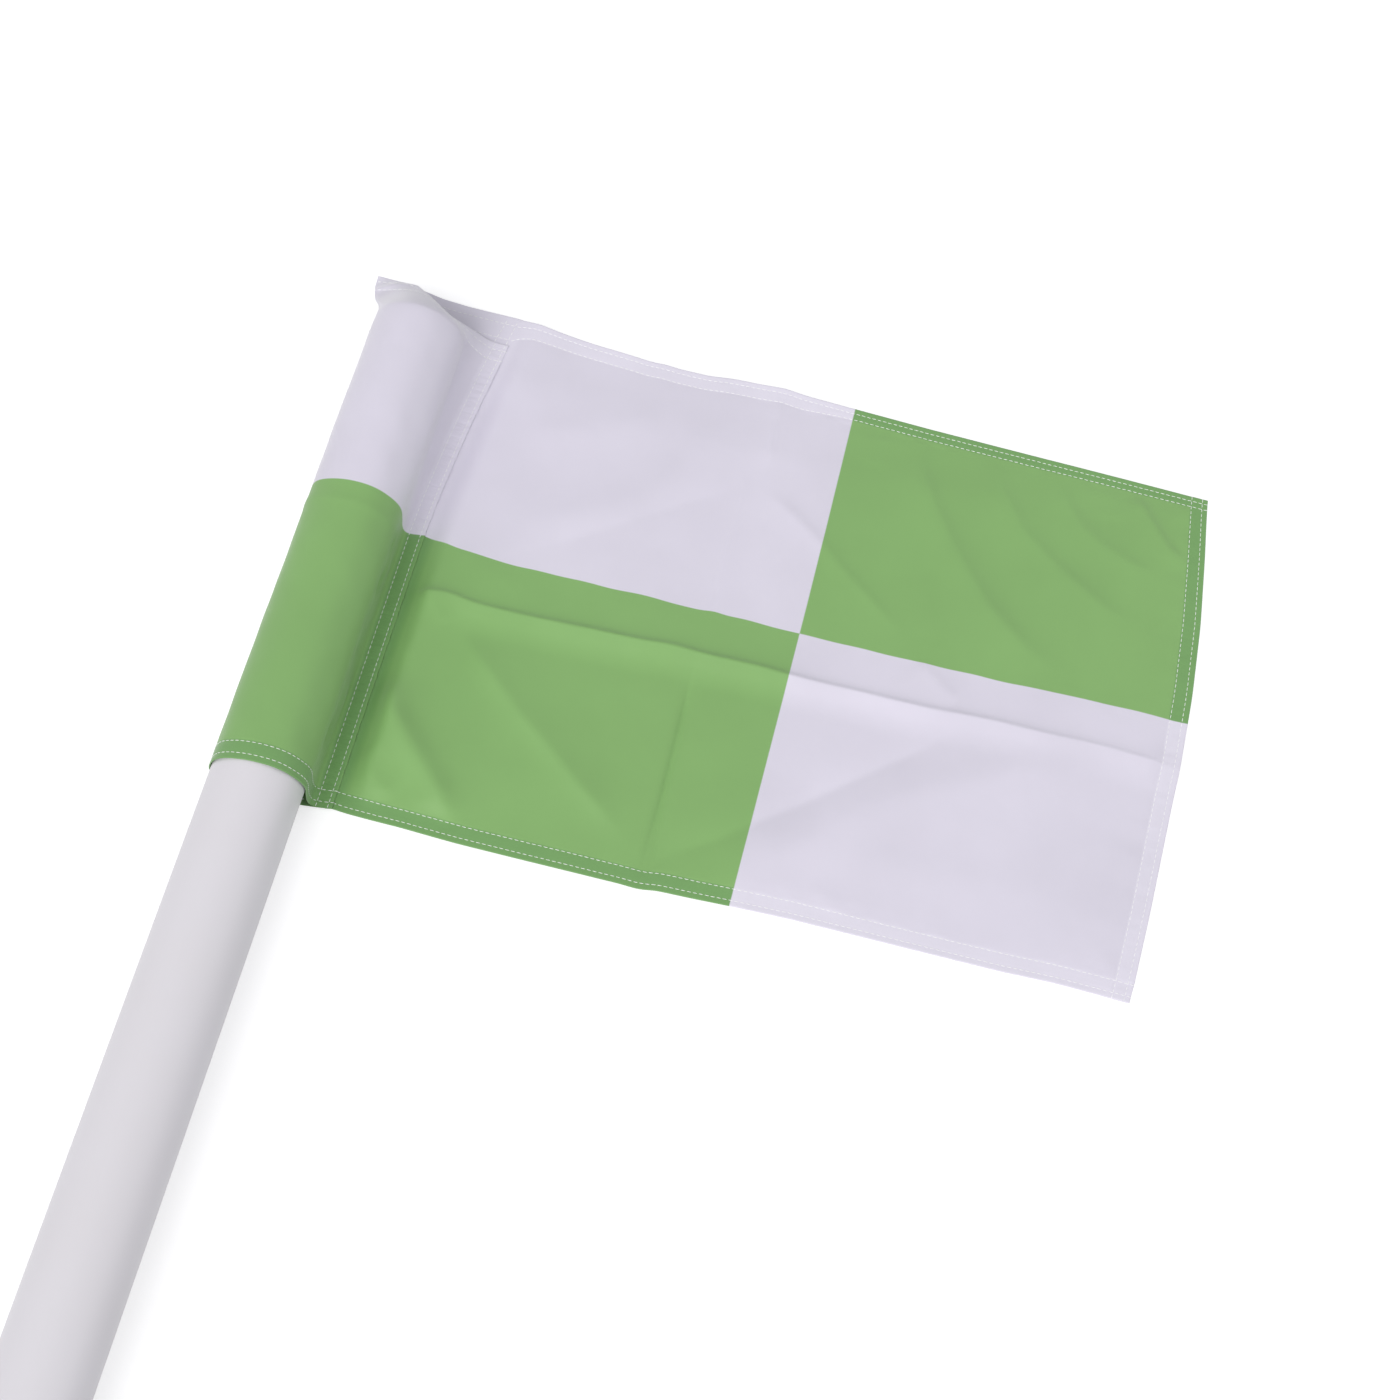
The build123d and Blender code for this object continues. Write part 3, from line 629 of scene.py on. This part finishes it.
# The sleeve's cross-section, from the panel under the seam, along the floor,
# round the pole and down to the seam again. Points are (x, z).
sleeve_radius = 25.62 * mm
seam_outer = 37.2 * mm
seam_rows = (2.3 * mm, 8.6 * mm)
strip_level = panel_level + 2.15 * cloth_layer
run_level = floor_z + 0.28 * mm
section_points = 900
section_blur = 5
floor_run = [
    (seam_outer, panel_level),
    (29 * mm, panel_level),
    (16 * mm, run_level),
    (7 * mm, run_level),
]
round_run = [
    (sleeve_radius * cos(a), sleeve_radius * sin(a))
    for a in np.radians(np.arange(-100, -375, -6.0))
]
drop_run = [
    (24.9 * mm, -10.0 * mm),
    (24.7 * mm, -16.0 * mm),
    (24.9 * mm, -20.5 * mm),
    (26.0 * mm, -23.6 * mm),
    (27.9 * mm, strip_level + 0.2 * mm),
    (30.0 * mm, strip_level),
    (seam_outer, strip_level),
]
section = np.array(floor_run + round_run + drop_run)
for _ in range(2):
    lengths = np.r_[0, np.cumsum(np.hypot(*np.diff(section, axis=0).T))]
    even = np.linspace(0, lengths[-1], section_points)
    section = np.stack([np.interp(even, lengths, section[:, i]) for i in (0, 1)], axis=1)
    padded = np.r_[section[:1].repeat(section_blur, 0), section, section[-1:].repeat(section_blur, 0)]
    taps = 2 * section_blur + 1
    section = sum(padded[i : i + len(section)] for i in range(taps)) / taps
section_run = np.r_[0, np.cumsum(np.hypot(*np.diff(section, axis=0).T))]
loop_length = section_run[-1]

# The sleeve's upper edge, from the seam's back to the sewn ear, and back along
# the front layer's free edge. Points are (x, y from the flag's foot, z).
upper_edge = np.array(
    [
        (50.6, 325.2, panel_level / mm),
        (42, 325.3, panel_level / mm),
        (30, 325.3, panel_level / mm + 0.1),
        (17, 325.0, panel_level / mm + 0.9),
        (2, 323.4, -20.4),
        (-13.5, 321.8, -12.6),
        (-25, 321.0, -10.4),
        (-36.2, 320.3, -8.4),
        (-36.4, 320.3, -7.4),
        (-25, 321.0, -9.4),
        (-13.5, 321.8, -11.5),
        (-8.5, 319.3, -8.8),
        (-2.5, 314.6, -5.8),
        (4, 311.6, -9.4),
        (11.5, 309.6, -14.4),
        (20.5, 309.2, -20.2),
        (27, 308.4, -23.6),
        (33.5, 306.2, strip_level / mm + 0.35),
        (40, 304.8, strip_level / mm),
        (47.9, 305.0, strip_level / mm),
    ]
) * mm
upper_steps = np.linalg.norm(np.diff(upper_edge, axis=0), axis=1)
upper_run = np.r_[0, np.cumsum(upper_steps)] / upper_steps.sum() * loop_length
ear_run = upper_run[7]
upper_blur = 1.8 * mm


def upper_edge_at(run):
    """The upper edge's smoothed points for places along the section."""
    tables = [np.stack([upper_run, upper_edge[:, i]], axis=1) for i in range(3)]
    return np.stack([smooth_curve(table, run, upper_blur) for table in tables], axis=-1)


# The sleeve's cut height, its straight part, and its bend over the pole's end.
cut_rise = 328.5 * mm
pole_cover = pole_end_y + 2.4 * mm - foot_y
end_bend = 4.6 * mm
# How far the seam leans towards the fly, from which height on, over what rise.
lean_most = 14 * mm
lean_start = 165 * mm
lean_rise = 160 * mm
# The sleeve's lower edge hangs below the foot, but less at the seam.
seam_hang = -1.2 * mm
free_hang = -4.6 * mm
hang_slope = 0.030
hang_reach = 14 * mm
# A crisp fold runs across the ear's front layer: a point on it, the direction
# to its upper side, its height, and its reach above and below.
ear_fold_at = (-35 * mm, 307 * mm)
ear_fold_up = (-0.515, 0.857)
ear_fold_height = 2.5 * mm
ear_fold_reach = (5.5 * mm, 2.6 * mm)

# Dents in the sleeve's free side, beside the seam: y from the flag's foot, the
# way back from the seam's end, depth and size, in mm.
sleeve_dents = [
    (34, 25, -1.7, 9),
    (58, 19, 1.0, 9),
    (88, 23, -1.0, 13),
    (126, 27, -1.5, 7),
    (139, 22, 1.1, 7),
    (150, 31, -0.8, 6),
]


def seam_lean(y):
    """How far the seam leans out towards the fly at y from the flag's foot."""
    return lean_most * np.clip((y - lean_start) / lean_rise, 0, 1.1) ** 1.6


def sleeve_foot(x, run):
    """The sleeve's lower edge from the flag's foot: it hangs a little below it."""
    near_seam = np.exp(-run / hang_reach) + np.exp(-(loop_length - run) / hang_reach)
    hanging = free_hang + hang_slope * x
    return hanging + (seam_hang - hanging) * np.clip(near_seam, 0, 1)


def ear_fold(x, y, run):
    """Height of the fold that runs across the ear's front layer."""
    from_fold = (x - ear_fold_at[0]) * ear_fold_up[0] + (y - ear_fold_at[1]) * ear_fold_up[1]
    blunted = np.sqrt(from_fold**2 + 0.1 * mm**2) - 0.32 * mm
    folded = ear_fold_height * np.exp(-blunted / np.where(from_fold > 0, *ear_fold_reach))
    in_front = rising(run, ear_run, 3 * mm) * rising(-x, 0, 16 * mm)
    return folded * in_front * rising(y, 296 * mm, 8 * mm)


def sleeve_lift(x, y, z, run):
    """How far the cloth stands off the pole in soft folds on its free sides."""
    from_end = loop_length - run
    lift = 0.45 * mm * (1 + ripples(21, [0.05, 0.09], run * 2.2, y * 0.35))
    lift = lift + 0.14 * mm * (1 + ripples(22, [0.02, 0.035], run, y))
    lift = lift + 0.35 * mm * bell(y - 155 * mm, 3 * mm)
    free_side = rising(z, -22 * mm, 14 * mm) * rising(from_end, 16 * mm, 18 * mm)
    lift = lift * free_side * (1 - rising(y, pole_cover - 6 * mm, 12 * mm))
    for dent_y, back, depth, size in sleeve_dents:
        dent = bell(y - dent_y * mm, size * mm) * bell(from_end - back * mm, 0.6 * size * mm)
        lift = lift + depth * mm * dent * rising(from_end, 12 * mm, 5 * mm)
    return lift


def sleeve_point(run, share):
    """A point of the sleeve: run along its section, share of its height."""
    run, share = np.broadcast_arrays(run, share)
    x = np.interp(run, section_run, section[:, 0])
    z = np.interp(run, section_run, section[:, 1])
    foot = sleeve_foot(x, run)
    leaning = 1 - rising(run, 0, 28 * mm) + rising(run, loop_length - 23 * mm, 14 * mm)
    corner_lean = leaning * seam_lean(pole_cover)
    start = np.stack([x + corner_lean, pole_cover + 0 * x, z], axis=-1)
    end = upper_edge_at(run)
    straight = pole_cover - foot
    # The cloth over the pole's end is a little longer than the straight way.
    whole = straight + np.linalg.norm(end - start, axis=-1) * 1.02
    walked = cut_rise * share + (whole - cut_rise) * rising(share, 0.6, 0.4)
    low_y = foot + walked
    low = np.stack([x + leaning * seam_lean(low_y), low_y, z], axis=-1)
    # Past the straight part it follows a curve from the pole to the sewn edge.
    t = np.clip((walked - straight) / (whole - straight), -0.02, 1.05)[..., None]
    lean_step = corner_lean - leaning * seam_lean(pole_cover - end_bend)
    corner = start + np.stack([lean_step, end_bend + 0 * x, 0 * x], axis=-1)
    before_end = corner + 0.3 * (end - corner)
    before_ear = end + np.array([0, -22 * mm, -0.6 * mm])
    before_end = before_end + (before_ear - before_end) * bell(run - ear_run, 13 * mm)[..., None]
    bent = (1 - t) ** 3 * start + 3 * (1 - t) ** 2 * t * corner
    bent = bent + 3 * (1 - t) * t**2 * before_end + t**3 * end
    point = np.where((walked > straight)[..., None], bent, low)
    x, y = point[..., 0], point[..., 1]
    z = point[..., 2] + ear_fold(x, y, run)
    turn = np.arctan2(z, x)
    lift = sleeve_lift(x, y, z, run)
    return np.stack([x + lift * np.cos(turn), y + foot_y, z + lift * np.sin(turn)], axis=-1)


# The top hem is sewn narrower towards the fly, over this run from the seam.
tuck_most = 2.6 * mm
tuck_start = 180 * mm
tuck_width = 40 * mm
# The fly's mean place and height, the reach of the seam's shape in the panel,
# and the swell beside the seam: its place, width and heights.
fly_line = 476 * mm
fly_rise = 312 * mm
seam_reach_x = 60 * mm
seam_reach_y = 9 * mm
swell_at = 13 * mm
swell_width = 14 * mm
swell_low = 3.8 * mm
swell_high = 1.2 * mm
puff_height = 2.0 * mm


def top_tuck(across):
    """How much narrower the top hem is sewn towards the fly."""
    return tuck_most * rising(across, tuck_start, tuck_width)


def panel_point(across, share):
    """A point of the panel: metres from the seam to the fly, share of its height."""
    left = sleeve_point(np.zeros_like(share), np.clip(share, 0, 1))
    fly_x = smooth_curve(fly_edge[:, ::-1], share * fly_rise, 6 * mm)
    part = across / panel_width
    x = seam_outer + (fly_line - seam_outer) * part + (fly_x - fly_line) * part**3
    x = x + (left[..., 0] - seam_outer) * np.exp(-across / seam_reach_x)
    foot = smooth_curve(foot_edge, x, 3 * mm)
    top = smooth_curve(top_edge, x, 3 * mm)
    middle = smooth_curve(print_line, x, 4 * mm) + 0.45 * mm * ripples(7, [0.03, 0.055], x)
    straight = foot + share * (top - foot)
    at_middle = foot + print_share * (top - foot)
    from_print = share - print_share
    bow = 1 - (from_print / np.where(from_print > 0, 1 - print_share, print_share)) ** 2
    y = straight + (middle - at_middle) * np.clip(bow, 0, 1)
    y = y + (left[..., 1] - foot_y - y) * np.exp(-across / seam_reach_y)
    from_foot, from_top = share * cloth_rise, (1 - share) * cloth_rise
    from_fly = panel_width - across
    nearest = np.minimum(np.minimum(from_foot, from_top), from_fly)
    folded = (fold_heights(x, y) + 0.3 * mm) * (0.22 + 0.78 * rising(nearest, 5 * mm, 13 * mm))
    puffed = puff_height * rising(nearest, 4 * mm, 46 * mm)
    swell = swell_low + (swell_high - swell_low) * rising(y, 112 * mm, 50 * mm)
    swell = swell * bell(across - swell_at, swell_width) * rising(from_foot, 0, 45 * mm)
    height = (folded + puffed + swell) * rising(across, 0.5 * mm, 15 * mm)
    height = height + edge_puckers(x, from_foot, 31) + edge_puckers(x, from_top, 33)
    height = height + edge_puckers(y, from_fly, 35) + stitch_grooves(from_foot)
    tucked = from_top + np.where(from_top > 5 * mm, top_tuck(across), 0)
    height = height + stitch_grooves(tucked) + stitch_grooves(from_fly)
    z = panel_level + np.maximum(height, -0.18 * mm)
    return np.stack(np.broadcast_arrays(x, y + foot_y, z), axis=-1)


def spaced(stops):
    """Numbers from stop to stop. Stops are (place, step to the next)."""
    numbers = []
    for (start, step), (end, _) in zip(stops[:-1], stops[1:]):
        count = max(1, round((end - start) / step))
        numbers += [start + (end - start) * i / count for i in range(count)]
    return numbers + [stops[-1][0]]


# How the cloth turns under at an edge: (distance inside it, layers down). The
# curl is in mm. The rows go from the turned lower edge up to the turned top.
curl = [(0.05, 0.04), (-0.16, 0.25), (-0.22, 0.5), (-0.16, 0.75), (0.05, 0.96)]
edge_turn = [(d * mm, layer) for d, layer in curl]
edge_turn += [(d, 1.0) for d in spaced([(0.5 * mm, 2.4 * mm), (hem_wide, 1)])]
rise_stops = [(0.4, 0.95), (12, 2.05), (120, 0.95), (147, 2.05), (310, 0.95), (321.6, 1)]
row_plan = [(d, layer, -d) for d, layer in reversed(edge_turn)]
row_plan += [(d, 0.0, d) for d in spaced([(a * mm, b * mm) for a, b in rise_stops])]
row_plan += [(cloth_rise - d, layer, cloth_rise + d) for d, layer in edge_turn]
row_share, row_layer, row_cut = np.array(row_plan).T
row_share = row_share / cloth_rise
probe = 0.2 * mm


def facing(point_at, run, share):
    """A point of the cloth and the direction that its upper face looks in."""
    along = point_at(run + probe, share) - point_at(run - probe, share)
    rise = probe / cloth_rise
    up = point_at(run, share + rise) - point_at(run, share - rise)
    return point_at(run, share), unit(np.cross(along, up))


def sheet_object(name, point_at, columns, column_layer, column_cut, row_side, finish):
    """A mesh of the cloth over its columns and rows, with its cut as UVs."""
    run, share = np.meshgrid(columns, row_share)
    here, normal = facing(point_at, run, share)
    down = row_layer[:, None] * row_side + column_layer[None, :]
    here = here - normal * (down * cloth_layer)[..., None]
    rows, cols = run.shape
    index = np.arange(rows * cols).reshape(rows, cols)
    quads = np.stack([index[:-1, :-1], index[:-1, 1:], index[1:, 1:], index[1:, :-1]], axis=-1)
    quads = quads.reshape(-1, 4).tolist()
    made = new_piece(name, here.reshape(-1, 3).tolist(), [], quads, finish)
    mesh = made.data
    cut = np.stack(np.broadcast_arrays(column_cut[None, :], row_cut[:, None]), axis=-1)
    layer = mesh.uv_layers.new(name="cut")
    loops = np.zeros(len(mesh.loops), np.int32)
    mesh.loops.foreach_get("vertex_index", loops)
    layer.data.foreach_set("uv", cut.reshape(-1, 2)[loops].astype(np.float32).ravel())
    thick = made.modifiers.new("cloth_thickness", "SOLIDIFY")
    thick.thickness = cloth_thick
    thick.offset = 0
    keep_result(made, thick)
    made.data.set_sharp_from_angle(angle=radians(60))
    return made


# Printed satin: threads about a third of a millimetre apart, a soft sheen, and
# print that is a little darker where two layers lie on each other. The doubled
# colours are also painted on the panel beside the seam, as painted shade.
threads_per_metre = {"X": 2900, "Y": 2600}
ink_edge = 0.5 * mm
hem_shade_edge = 0.3 * mm
seam_middle = 5.2 * mm
gather_gain = 70.0
white_cloth = (0.695, 0.664, 0.766)
white_doubled_and_shade = (0.74, 0.71, 0.81)
green_cloth = (0.226, 0.421, 0.142)
green_doubled_and_shade = (0.175, 0.353, 0.121)
flag_cloth, tree, shader = new_finish("printed_satin", (0.2, 0.5, 0.1), 0.0, 0.52)
cut_uv = tree.nodes.new("ShaderNodeUVMap")
cut_uv.uv_map = "cut"
split_uv = tree.nodes.new("ShaderNodeSeparateXYZ")
tree.links.new(cut_uv.outputs["UV"], split_uv.inputs[0])


def joined(operation, first, second=None):
    """A Math node on sockets or numbers."""
    node = tree.nodes.new("ShaderNodeMath")
    node.operation = operation
    for slot, value in enumerate((first, second)):
        if isinstance(value, (int, float)):
            node.inputs[slot].default_value = value
        elif value is not None:
            tree.links.new(value, node.inputs[slot])
    return node.outputs[0]


def past_print(channel, at):
    """0 before the print's edge and 1 after it, over the ink's soft width."""
    value = split_uv.outputs[channel]
    return between_values(tree, value, 0.0, 1.0, at - ink_edge / 2, at + ink_edge / 2)


def distance_to(channel, at):
    """Metres along the cut cloth from a line across it."""
    return joined("ABSOLUTE", joined("SUBTRACT", split_uv.outputs[channel], at))


past_middle = past_print("X", print_column)
over_middle = past_print("Y", print_share * cloth_rise)
is_green = joined("SUBTRACT", 1.0, joined("ABSOLUTE", joined("SUBTRACT", past_middle, over_middle)))
tuck_ends = (tuck_start + 5 * mm, tuck_start + tuck_width - 5 * mm)
tuck = between_values(tree, split_uv.outputs["X"], 0.0, tuck_most, *tuck_ends)
from_top = joined("ADD", distance_to("Y", cloth_rise), tuck)
from_ends = joined("MINIMUM", distance_to("Y", 0.0), from_top)
from_edge = joined("MINIMUM", from_ends, distance_to("X", panel_width))
from_seam = distance_to("X", seam_middle - loop_length)
# The cloth is doubled on the hems and on the seam. The same colours are painted
# on the panel's first millimetres beside the seam as painted shade; it darkens
# the green print there and makes the white a little lighter.
doubled_and_seam_shade = between_values(
    tree, from_edge, 1.0, 0.0, hem_wide - hem_shade_edge, hem_wide + hem_shade_edge
)
for from_line, whole_to, none_from in (
    (from_seam, 4.2 * mm, 6.0 * mm),
    # painted shade on the panel's first millimetres beside the seam
    (distance_to("X", 1.0 * mm), 1.2 * mm, 6.0 * mm),
):
    doubled_and_shade_too = between_values(tree, from_line, 1.0, 0.0, whole_to, none_from)
    doubled_and_seam_shade = joined("MAXIMUM", doubled_and_seam_shade, doubled_and_shade_too)
white = mixed(tree, doubled_and_seam_shade, white_cloth, white_doubled_and_shade)
green = mixed(tree, doubled_and_seam_shade, green_cloth, green_doubled_and_shade)
shifted = tree.nodes.new("ShaderNodeVectorMath")
shifted.operation = "SCALE"
dye_shift = between_values(tree, object_noise(tree, 16, 4), 0.97, 1.03)
tree.links.new(mixed(tree, is_green, white, green), shifted.inputs[0])
tree.links.new(dye_shift, shifted.inputs["Scale"])
tree.links.new(shifted.outputs[0], shader.inputs["Base Color"])
tree.links.new(between_values(tree, is_green, 0.75, 0.22, 0.0, 1.0), shader.inputs["Sheen Weight"])
shader.inputs["Sheen Roughness"].default_value = 0.45
shader.inputs["Specular IOR Level"].default_value = 0.32
uneven_gloss(tree, shader, 40, 0.46, 0.58)
waves = [
    joined("SINE", joined("MULTIPLY", split_uv.outputs[channel], per_metre * 2 * pi))
    for channel, per_metre in threads_per_metre.items()
]
weave = joined("MULTIPLY", *waves)
slub = joined("MULTIPLY", object_noise(tree, 700, 2), 2.0)
near_seam = between_values(tree, from_seam, gather_gain, 0.0, 3.0 * mm, 7.5 * mm)
gathers = joined("MULTIPLY", object_noise(tree, 260, 2, (0.22, 1, 0.3)), near_seam)
bumped(tree, shader, joined("ADD", joined("ADD", weave, slub), gathers), 0.03 * mm, 0.5)

column_stops = [(-3.5, 3.5), (0, 1.1), (8, 2.1), (163, 0.9), (179, 2.1), (426.5, 0.95), (438.1, 1)]
panel_columns = spaced([(a * mm, b * mm) for a, b in column_stops])
panel_run = np.array(panel_columns + [panel_width - d for d, _ in edge_turn])
panel_layer = np.array([0.0] * len(panel_columns) + [layer for _, layer in edge_turn])
panel_cut = np.array(panel_columns + [panel_width + d for d, _ in edge_turn])


def panel_with_tab(across, share):
    """The panel, led a few millimetres under the seam to meet the sleeve."""
    inside = panel_point(np.maximum(across, 0), share)
    tab = sleeve_point(np.maximum(-across, 0), share)
    return np.where((across < 0)[..., None], tab, inside)


flag_panel = sheet_object(
    "flag_panel_cloth", panel_with_tab, panel_run, panel_layer, panel_cut, 1.0, flag_cloth
)

# The sleeve's mesh starts where the panel's tab ends. Its front end is turned
# under on the panel, below the seam's two rows of stitches. Its lower hem is
# turned in towards the pole. Its upper hem is turned down, as the panel's is.
strip_turn = [(d, layer) for d, layer in edge_turn if d < 9.6 * mm]
sleeve_columns = spaced(
    [
        (3.5 * mm, 2.4 * mm),
        (loop_length - 30 * mm, 1.5 * mm),
        (loop_length - 10.5 * mm, 0.85 * mm),
        (loop_length - 0.4 * mm, 1),
    ]
)
sleeve_run = np.array(sleeve_columns + [loop_length - d for d, _ in strip_turn])
sleeve_layer = np.array([0.0] * len(sleeve_columns) + [layer for _, layer in strip_turn])
sleeve_cut = -np.array(sleeve_columns + [loop_length + d for d, _ in strip_turn])
in_seam = rising(sleeve_run, loop_length - 12 * mm, 2 * mm)
front_side = 2 * rising(sleeve_run, ear_run - 3 * mm, 6 * mm) - 1
hem_side = np.where(row_share[:, None] < 0.5, 1.0, front_side[None, :]) * (1 - 0.7 * in_seam[None, :])


def sleeve_surface(run, share):
    """The sleeve with the puckers and grooves that its hems and seam give it."""
    point = sleeve_point(run, share)
    along = sleeve_point(run + probe, share) - sleeve_point(run - probe, share)
    outward = unit(np.stack([-along[..., 2], along[..., 1] * 0, along[..., 0]], axis=-1))
    from_foot, from_top = share * cloth_rise, (1 - share) * cloth_rise
    from_end = loop_length - run
    height = edge_puckers(run, from_foot, 41) + edge_puckers(run, from_top, 43)
    height = height + stitch_grooves(from_foot) + stitch_grooves(from_top)
    seam_wave = ripples(45, pucker_waves, point[..., 1]) * bell(from_end - 5.4 * mm, pucker_reach)
    height = height + pucker_height * seam_wave + stitch_grooves(from_end, seam_rows)
    calm = rising(run, 4 * mm, 30 * mm)
    return point + outward * (np.maximum(height, -0.2 * mm) * calm)[..., None]


flag_sleeve = sheet_object(
    "flag_sleeve_cloth", sleeve_surface, sleeve_run, sleeve_layer, sleeve_cut, hem_side, flag_cloth
)

cloth_pieces = {
    flag_panel: ("flag_panel", "top_hem", "bottom_hem", "fly_hem"),
    flag_sleeve: ("flag_sleeve", "sleeve_bottom_hem", "pocket_top", "sleeve_seam"),
}
for piece, cad_nodes in cloth_pieces.items():
    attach(piece, "flag")
    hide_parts(*cad_nodes)

# Stitching: white polyester thread in two rows on each hem and on the seam.
# Each stitch is a short thread that dips into the cloth at both ends. Rows lie
# on the cloth's face and on its back. The seam's rows show on the sleeve's
# other face only at the upper corner.
stitch_step = 3.2 * mm
thread_radius = 0.18 * mm
thread_length = 2.4 * mm
face_lift = cloth_thick / 2 + 0.04 * mm
back_lift = -cloth_layer - face_lift
panel_steps = np.linspace(0.5 * mm, panel_width - 0.8 * mm, 420)
rise_steps = np.linspace(0.003, 0.997, 320)
corner_steps = np.linspace(0.946, 0.993, 30)
sleeve_steps = np.linspace(4 * mm, loop_length - 0.6 * mm, 200)


def traced(point_at, run, share, lift):
    """A line of points that lies that far over the cloth's face."""
    run, share = np.broadcast_arrays(np.asarray(run, float), np.asarray(share, float))
    here, normal = facing(point_at, run, share)
    return here + normal * lift


rows = []
for lift in (face_lift, back_lift):
    for inset in (hem_outer_row, hem_inner_row):
        tucked = inset - (top_tuck(panel_steps) if inset == hem_inner_row else 0)
        rows.append(traced(panel_with_tab, panel_steps, inset / cloth_rise, lift))
        rows.append(traced(panel_with_tab, panel_steps, 1 - tucked / cloth_rise, lift))
        for share in (inset / cloth_rise, 1 - inset / cloth_rise):
            under_pole = (sleeve_steps < ear_run) & (share > 0.5)
            side_lift = np.where(under_pole, -lift, lift)[:, None]
            rows.append(traced(sleeve_surface, sleeve_steps, share, side_lift))
        rows.append(traced(panel_with_tab, panel_width - inset, rise_steps, lift))
for row in seam_rows:
    rows.append(traced(sleeve_surface, loop_length - row, rise_steps, face_lift))
    rows.append(traced(panel_with_tab, -row, rise_steps, -face_lift))
    rows.append(traced(sleeve_surface, row, corner_steps, -face_lift))
line_verts = []
line_edges = []
for line in rows:
    start = len(line_verts)
    line_verts += line.tolist()
    line_edges += [(start + i, start + i + 1) for i in range(len(line) - 1)]
flag_stitching = new_piece("flag_stitching", line_verts, line_edges, [])
thread_white, tree, shader = new_finish("sewing_thread", (0.90, 0.90, 0.91), 0.0, 0.55)
shader.inputs["Sheen Weight"].default_value = 0.3
mottled(tree, shader, 300, 2, [(0.3, (0.86, 0.86, 0.87)), (0.7, (0.96, 0.96, 0.96))])
bumped(tree, shader, object_noise(tree, 3000, 1), 0.04 * mm, 0.6)

# The stitcher puts a stretched ball on a row for each of its stitches.
stitcher = bpy.data.node_groups.new("stitcher", "GeometryNodeTree")
face = stitcher.interface
face.new_socket("Geometry", in_out="INPUT", socket_type="NodeSocketGeometry")
face.new_socket("Geometry", in_out="OUTPUT", socket_type="NodeSocketGeometry")
settings = []
for label, kind, value in (
    ("Stitch step", "NodeSocketFloat", stitch_step),
    ("Thread radius", "NodeSocketFloat", thread_radius),
    ("Thread length", "NodeSocketFloat", thread_length),
    ("Thread", "NodeSocketMaterial", thread_white),
):
    socket = face.new_socket(label, in_out="INPUT", socket_type=kind)
    settings.append((socket.identifier, value))
build = stitcher.nodes
group_in = build.new("NodeGroupInput")
group_out = build.new("NodeGroupOutput")
to_curve = build.new("GeometryNodeMeshToCurve")
even_out = build.new("GeometryNodeResampleCurve")
even_out.mode = "LENGTH"
to_points = build.new("GeometryNodeCurveToPoints")
to_points.mode = "EVALUATED"
thread = build.new("GeometryNodeMeshUVSphere")
thread.inputs["Radius"].default_value = 1.0
thread.inputs["Segments"].default_value = 7
thread.inputs["Rings"].default_value = 6
half_length = build.new("ShaderNodeMath")
half_length.operation = "MULTIPLY"
half_length.inputs[1].default_value = 0.5
stretch = build.new("ShaderNodeCombineXYZ")
place_threads = build.new("GeometryNodeInstanceOnPoints")
make_real = build.new("GeometryNodeRealizeInstances")
dye = build.new("GeometryNodeSetMaterial")
for giver, given, taker, taken in (
    (group_in, "Geometry", to_curve, "Mesh"),
    (to_curve, "Curve", even_out, "Curve"),
    (group_in, "Stitch step", even_out, "Length"),
    (even_out, "Curve", to_points, "Curve"),
    (to_points, "Points", place_threads, "Points"),
    (to_points, "Rotation", place_threads, "Rotation"),
    (thread, "Mesh", place_threads, "Instance"),
    (group_in, "Thread length", half_length, 0),
    (group_in, "Thread radius", stretch, "X"),
    (group_in, "Thread radius", stretch, "Y"),
    (half_length, 0, stretch, "Z"),
    (stretch, 0, place_threads, "Scale"),
    (place_threads, "Instances", make_real, "Geometry"),
    (make_real, "Geometry", dye, "Geometry"),
    (group_in, "Thread", dye, "Material"),
    (dye, "Geometry", group_out, "Geometry"),
):
    stitcher.links.new(giver.outputs[given], taker.inputs[taken])
sew = flag_stitching.modifiers.new("stitcher", "NODES")
sew.node_group = stitcher
for identifier, value in settings:
    sew[identifier] = value
keep_result(flag_stitching, sew)
flag_stitching.data.shade_smooth()
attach(flag_stitching, "flag")
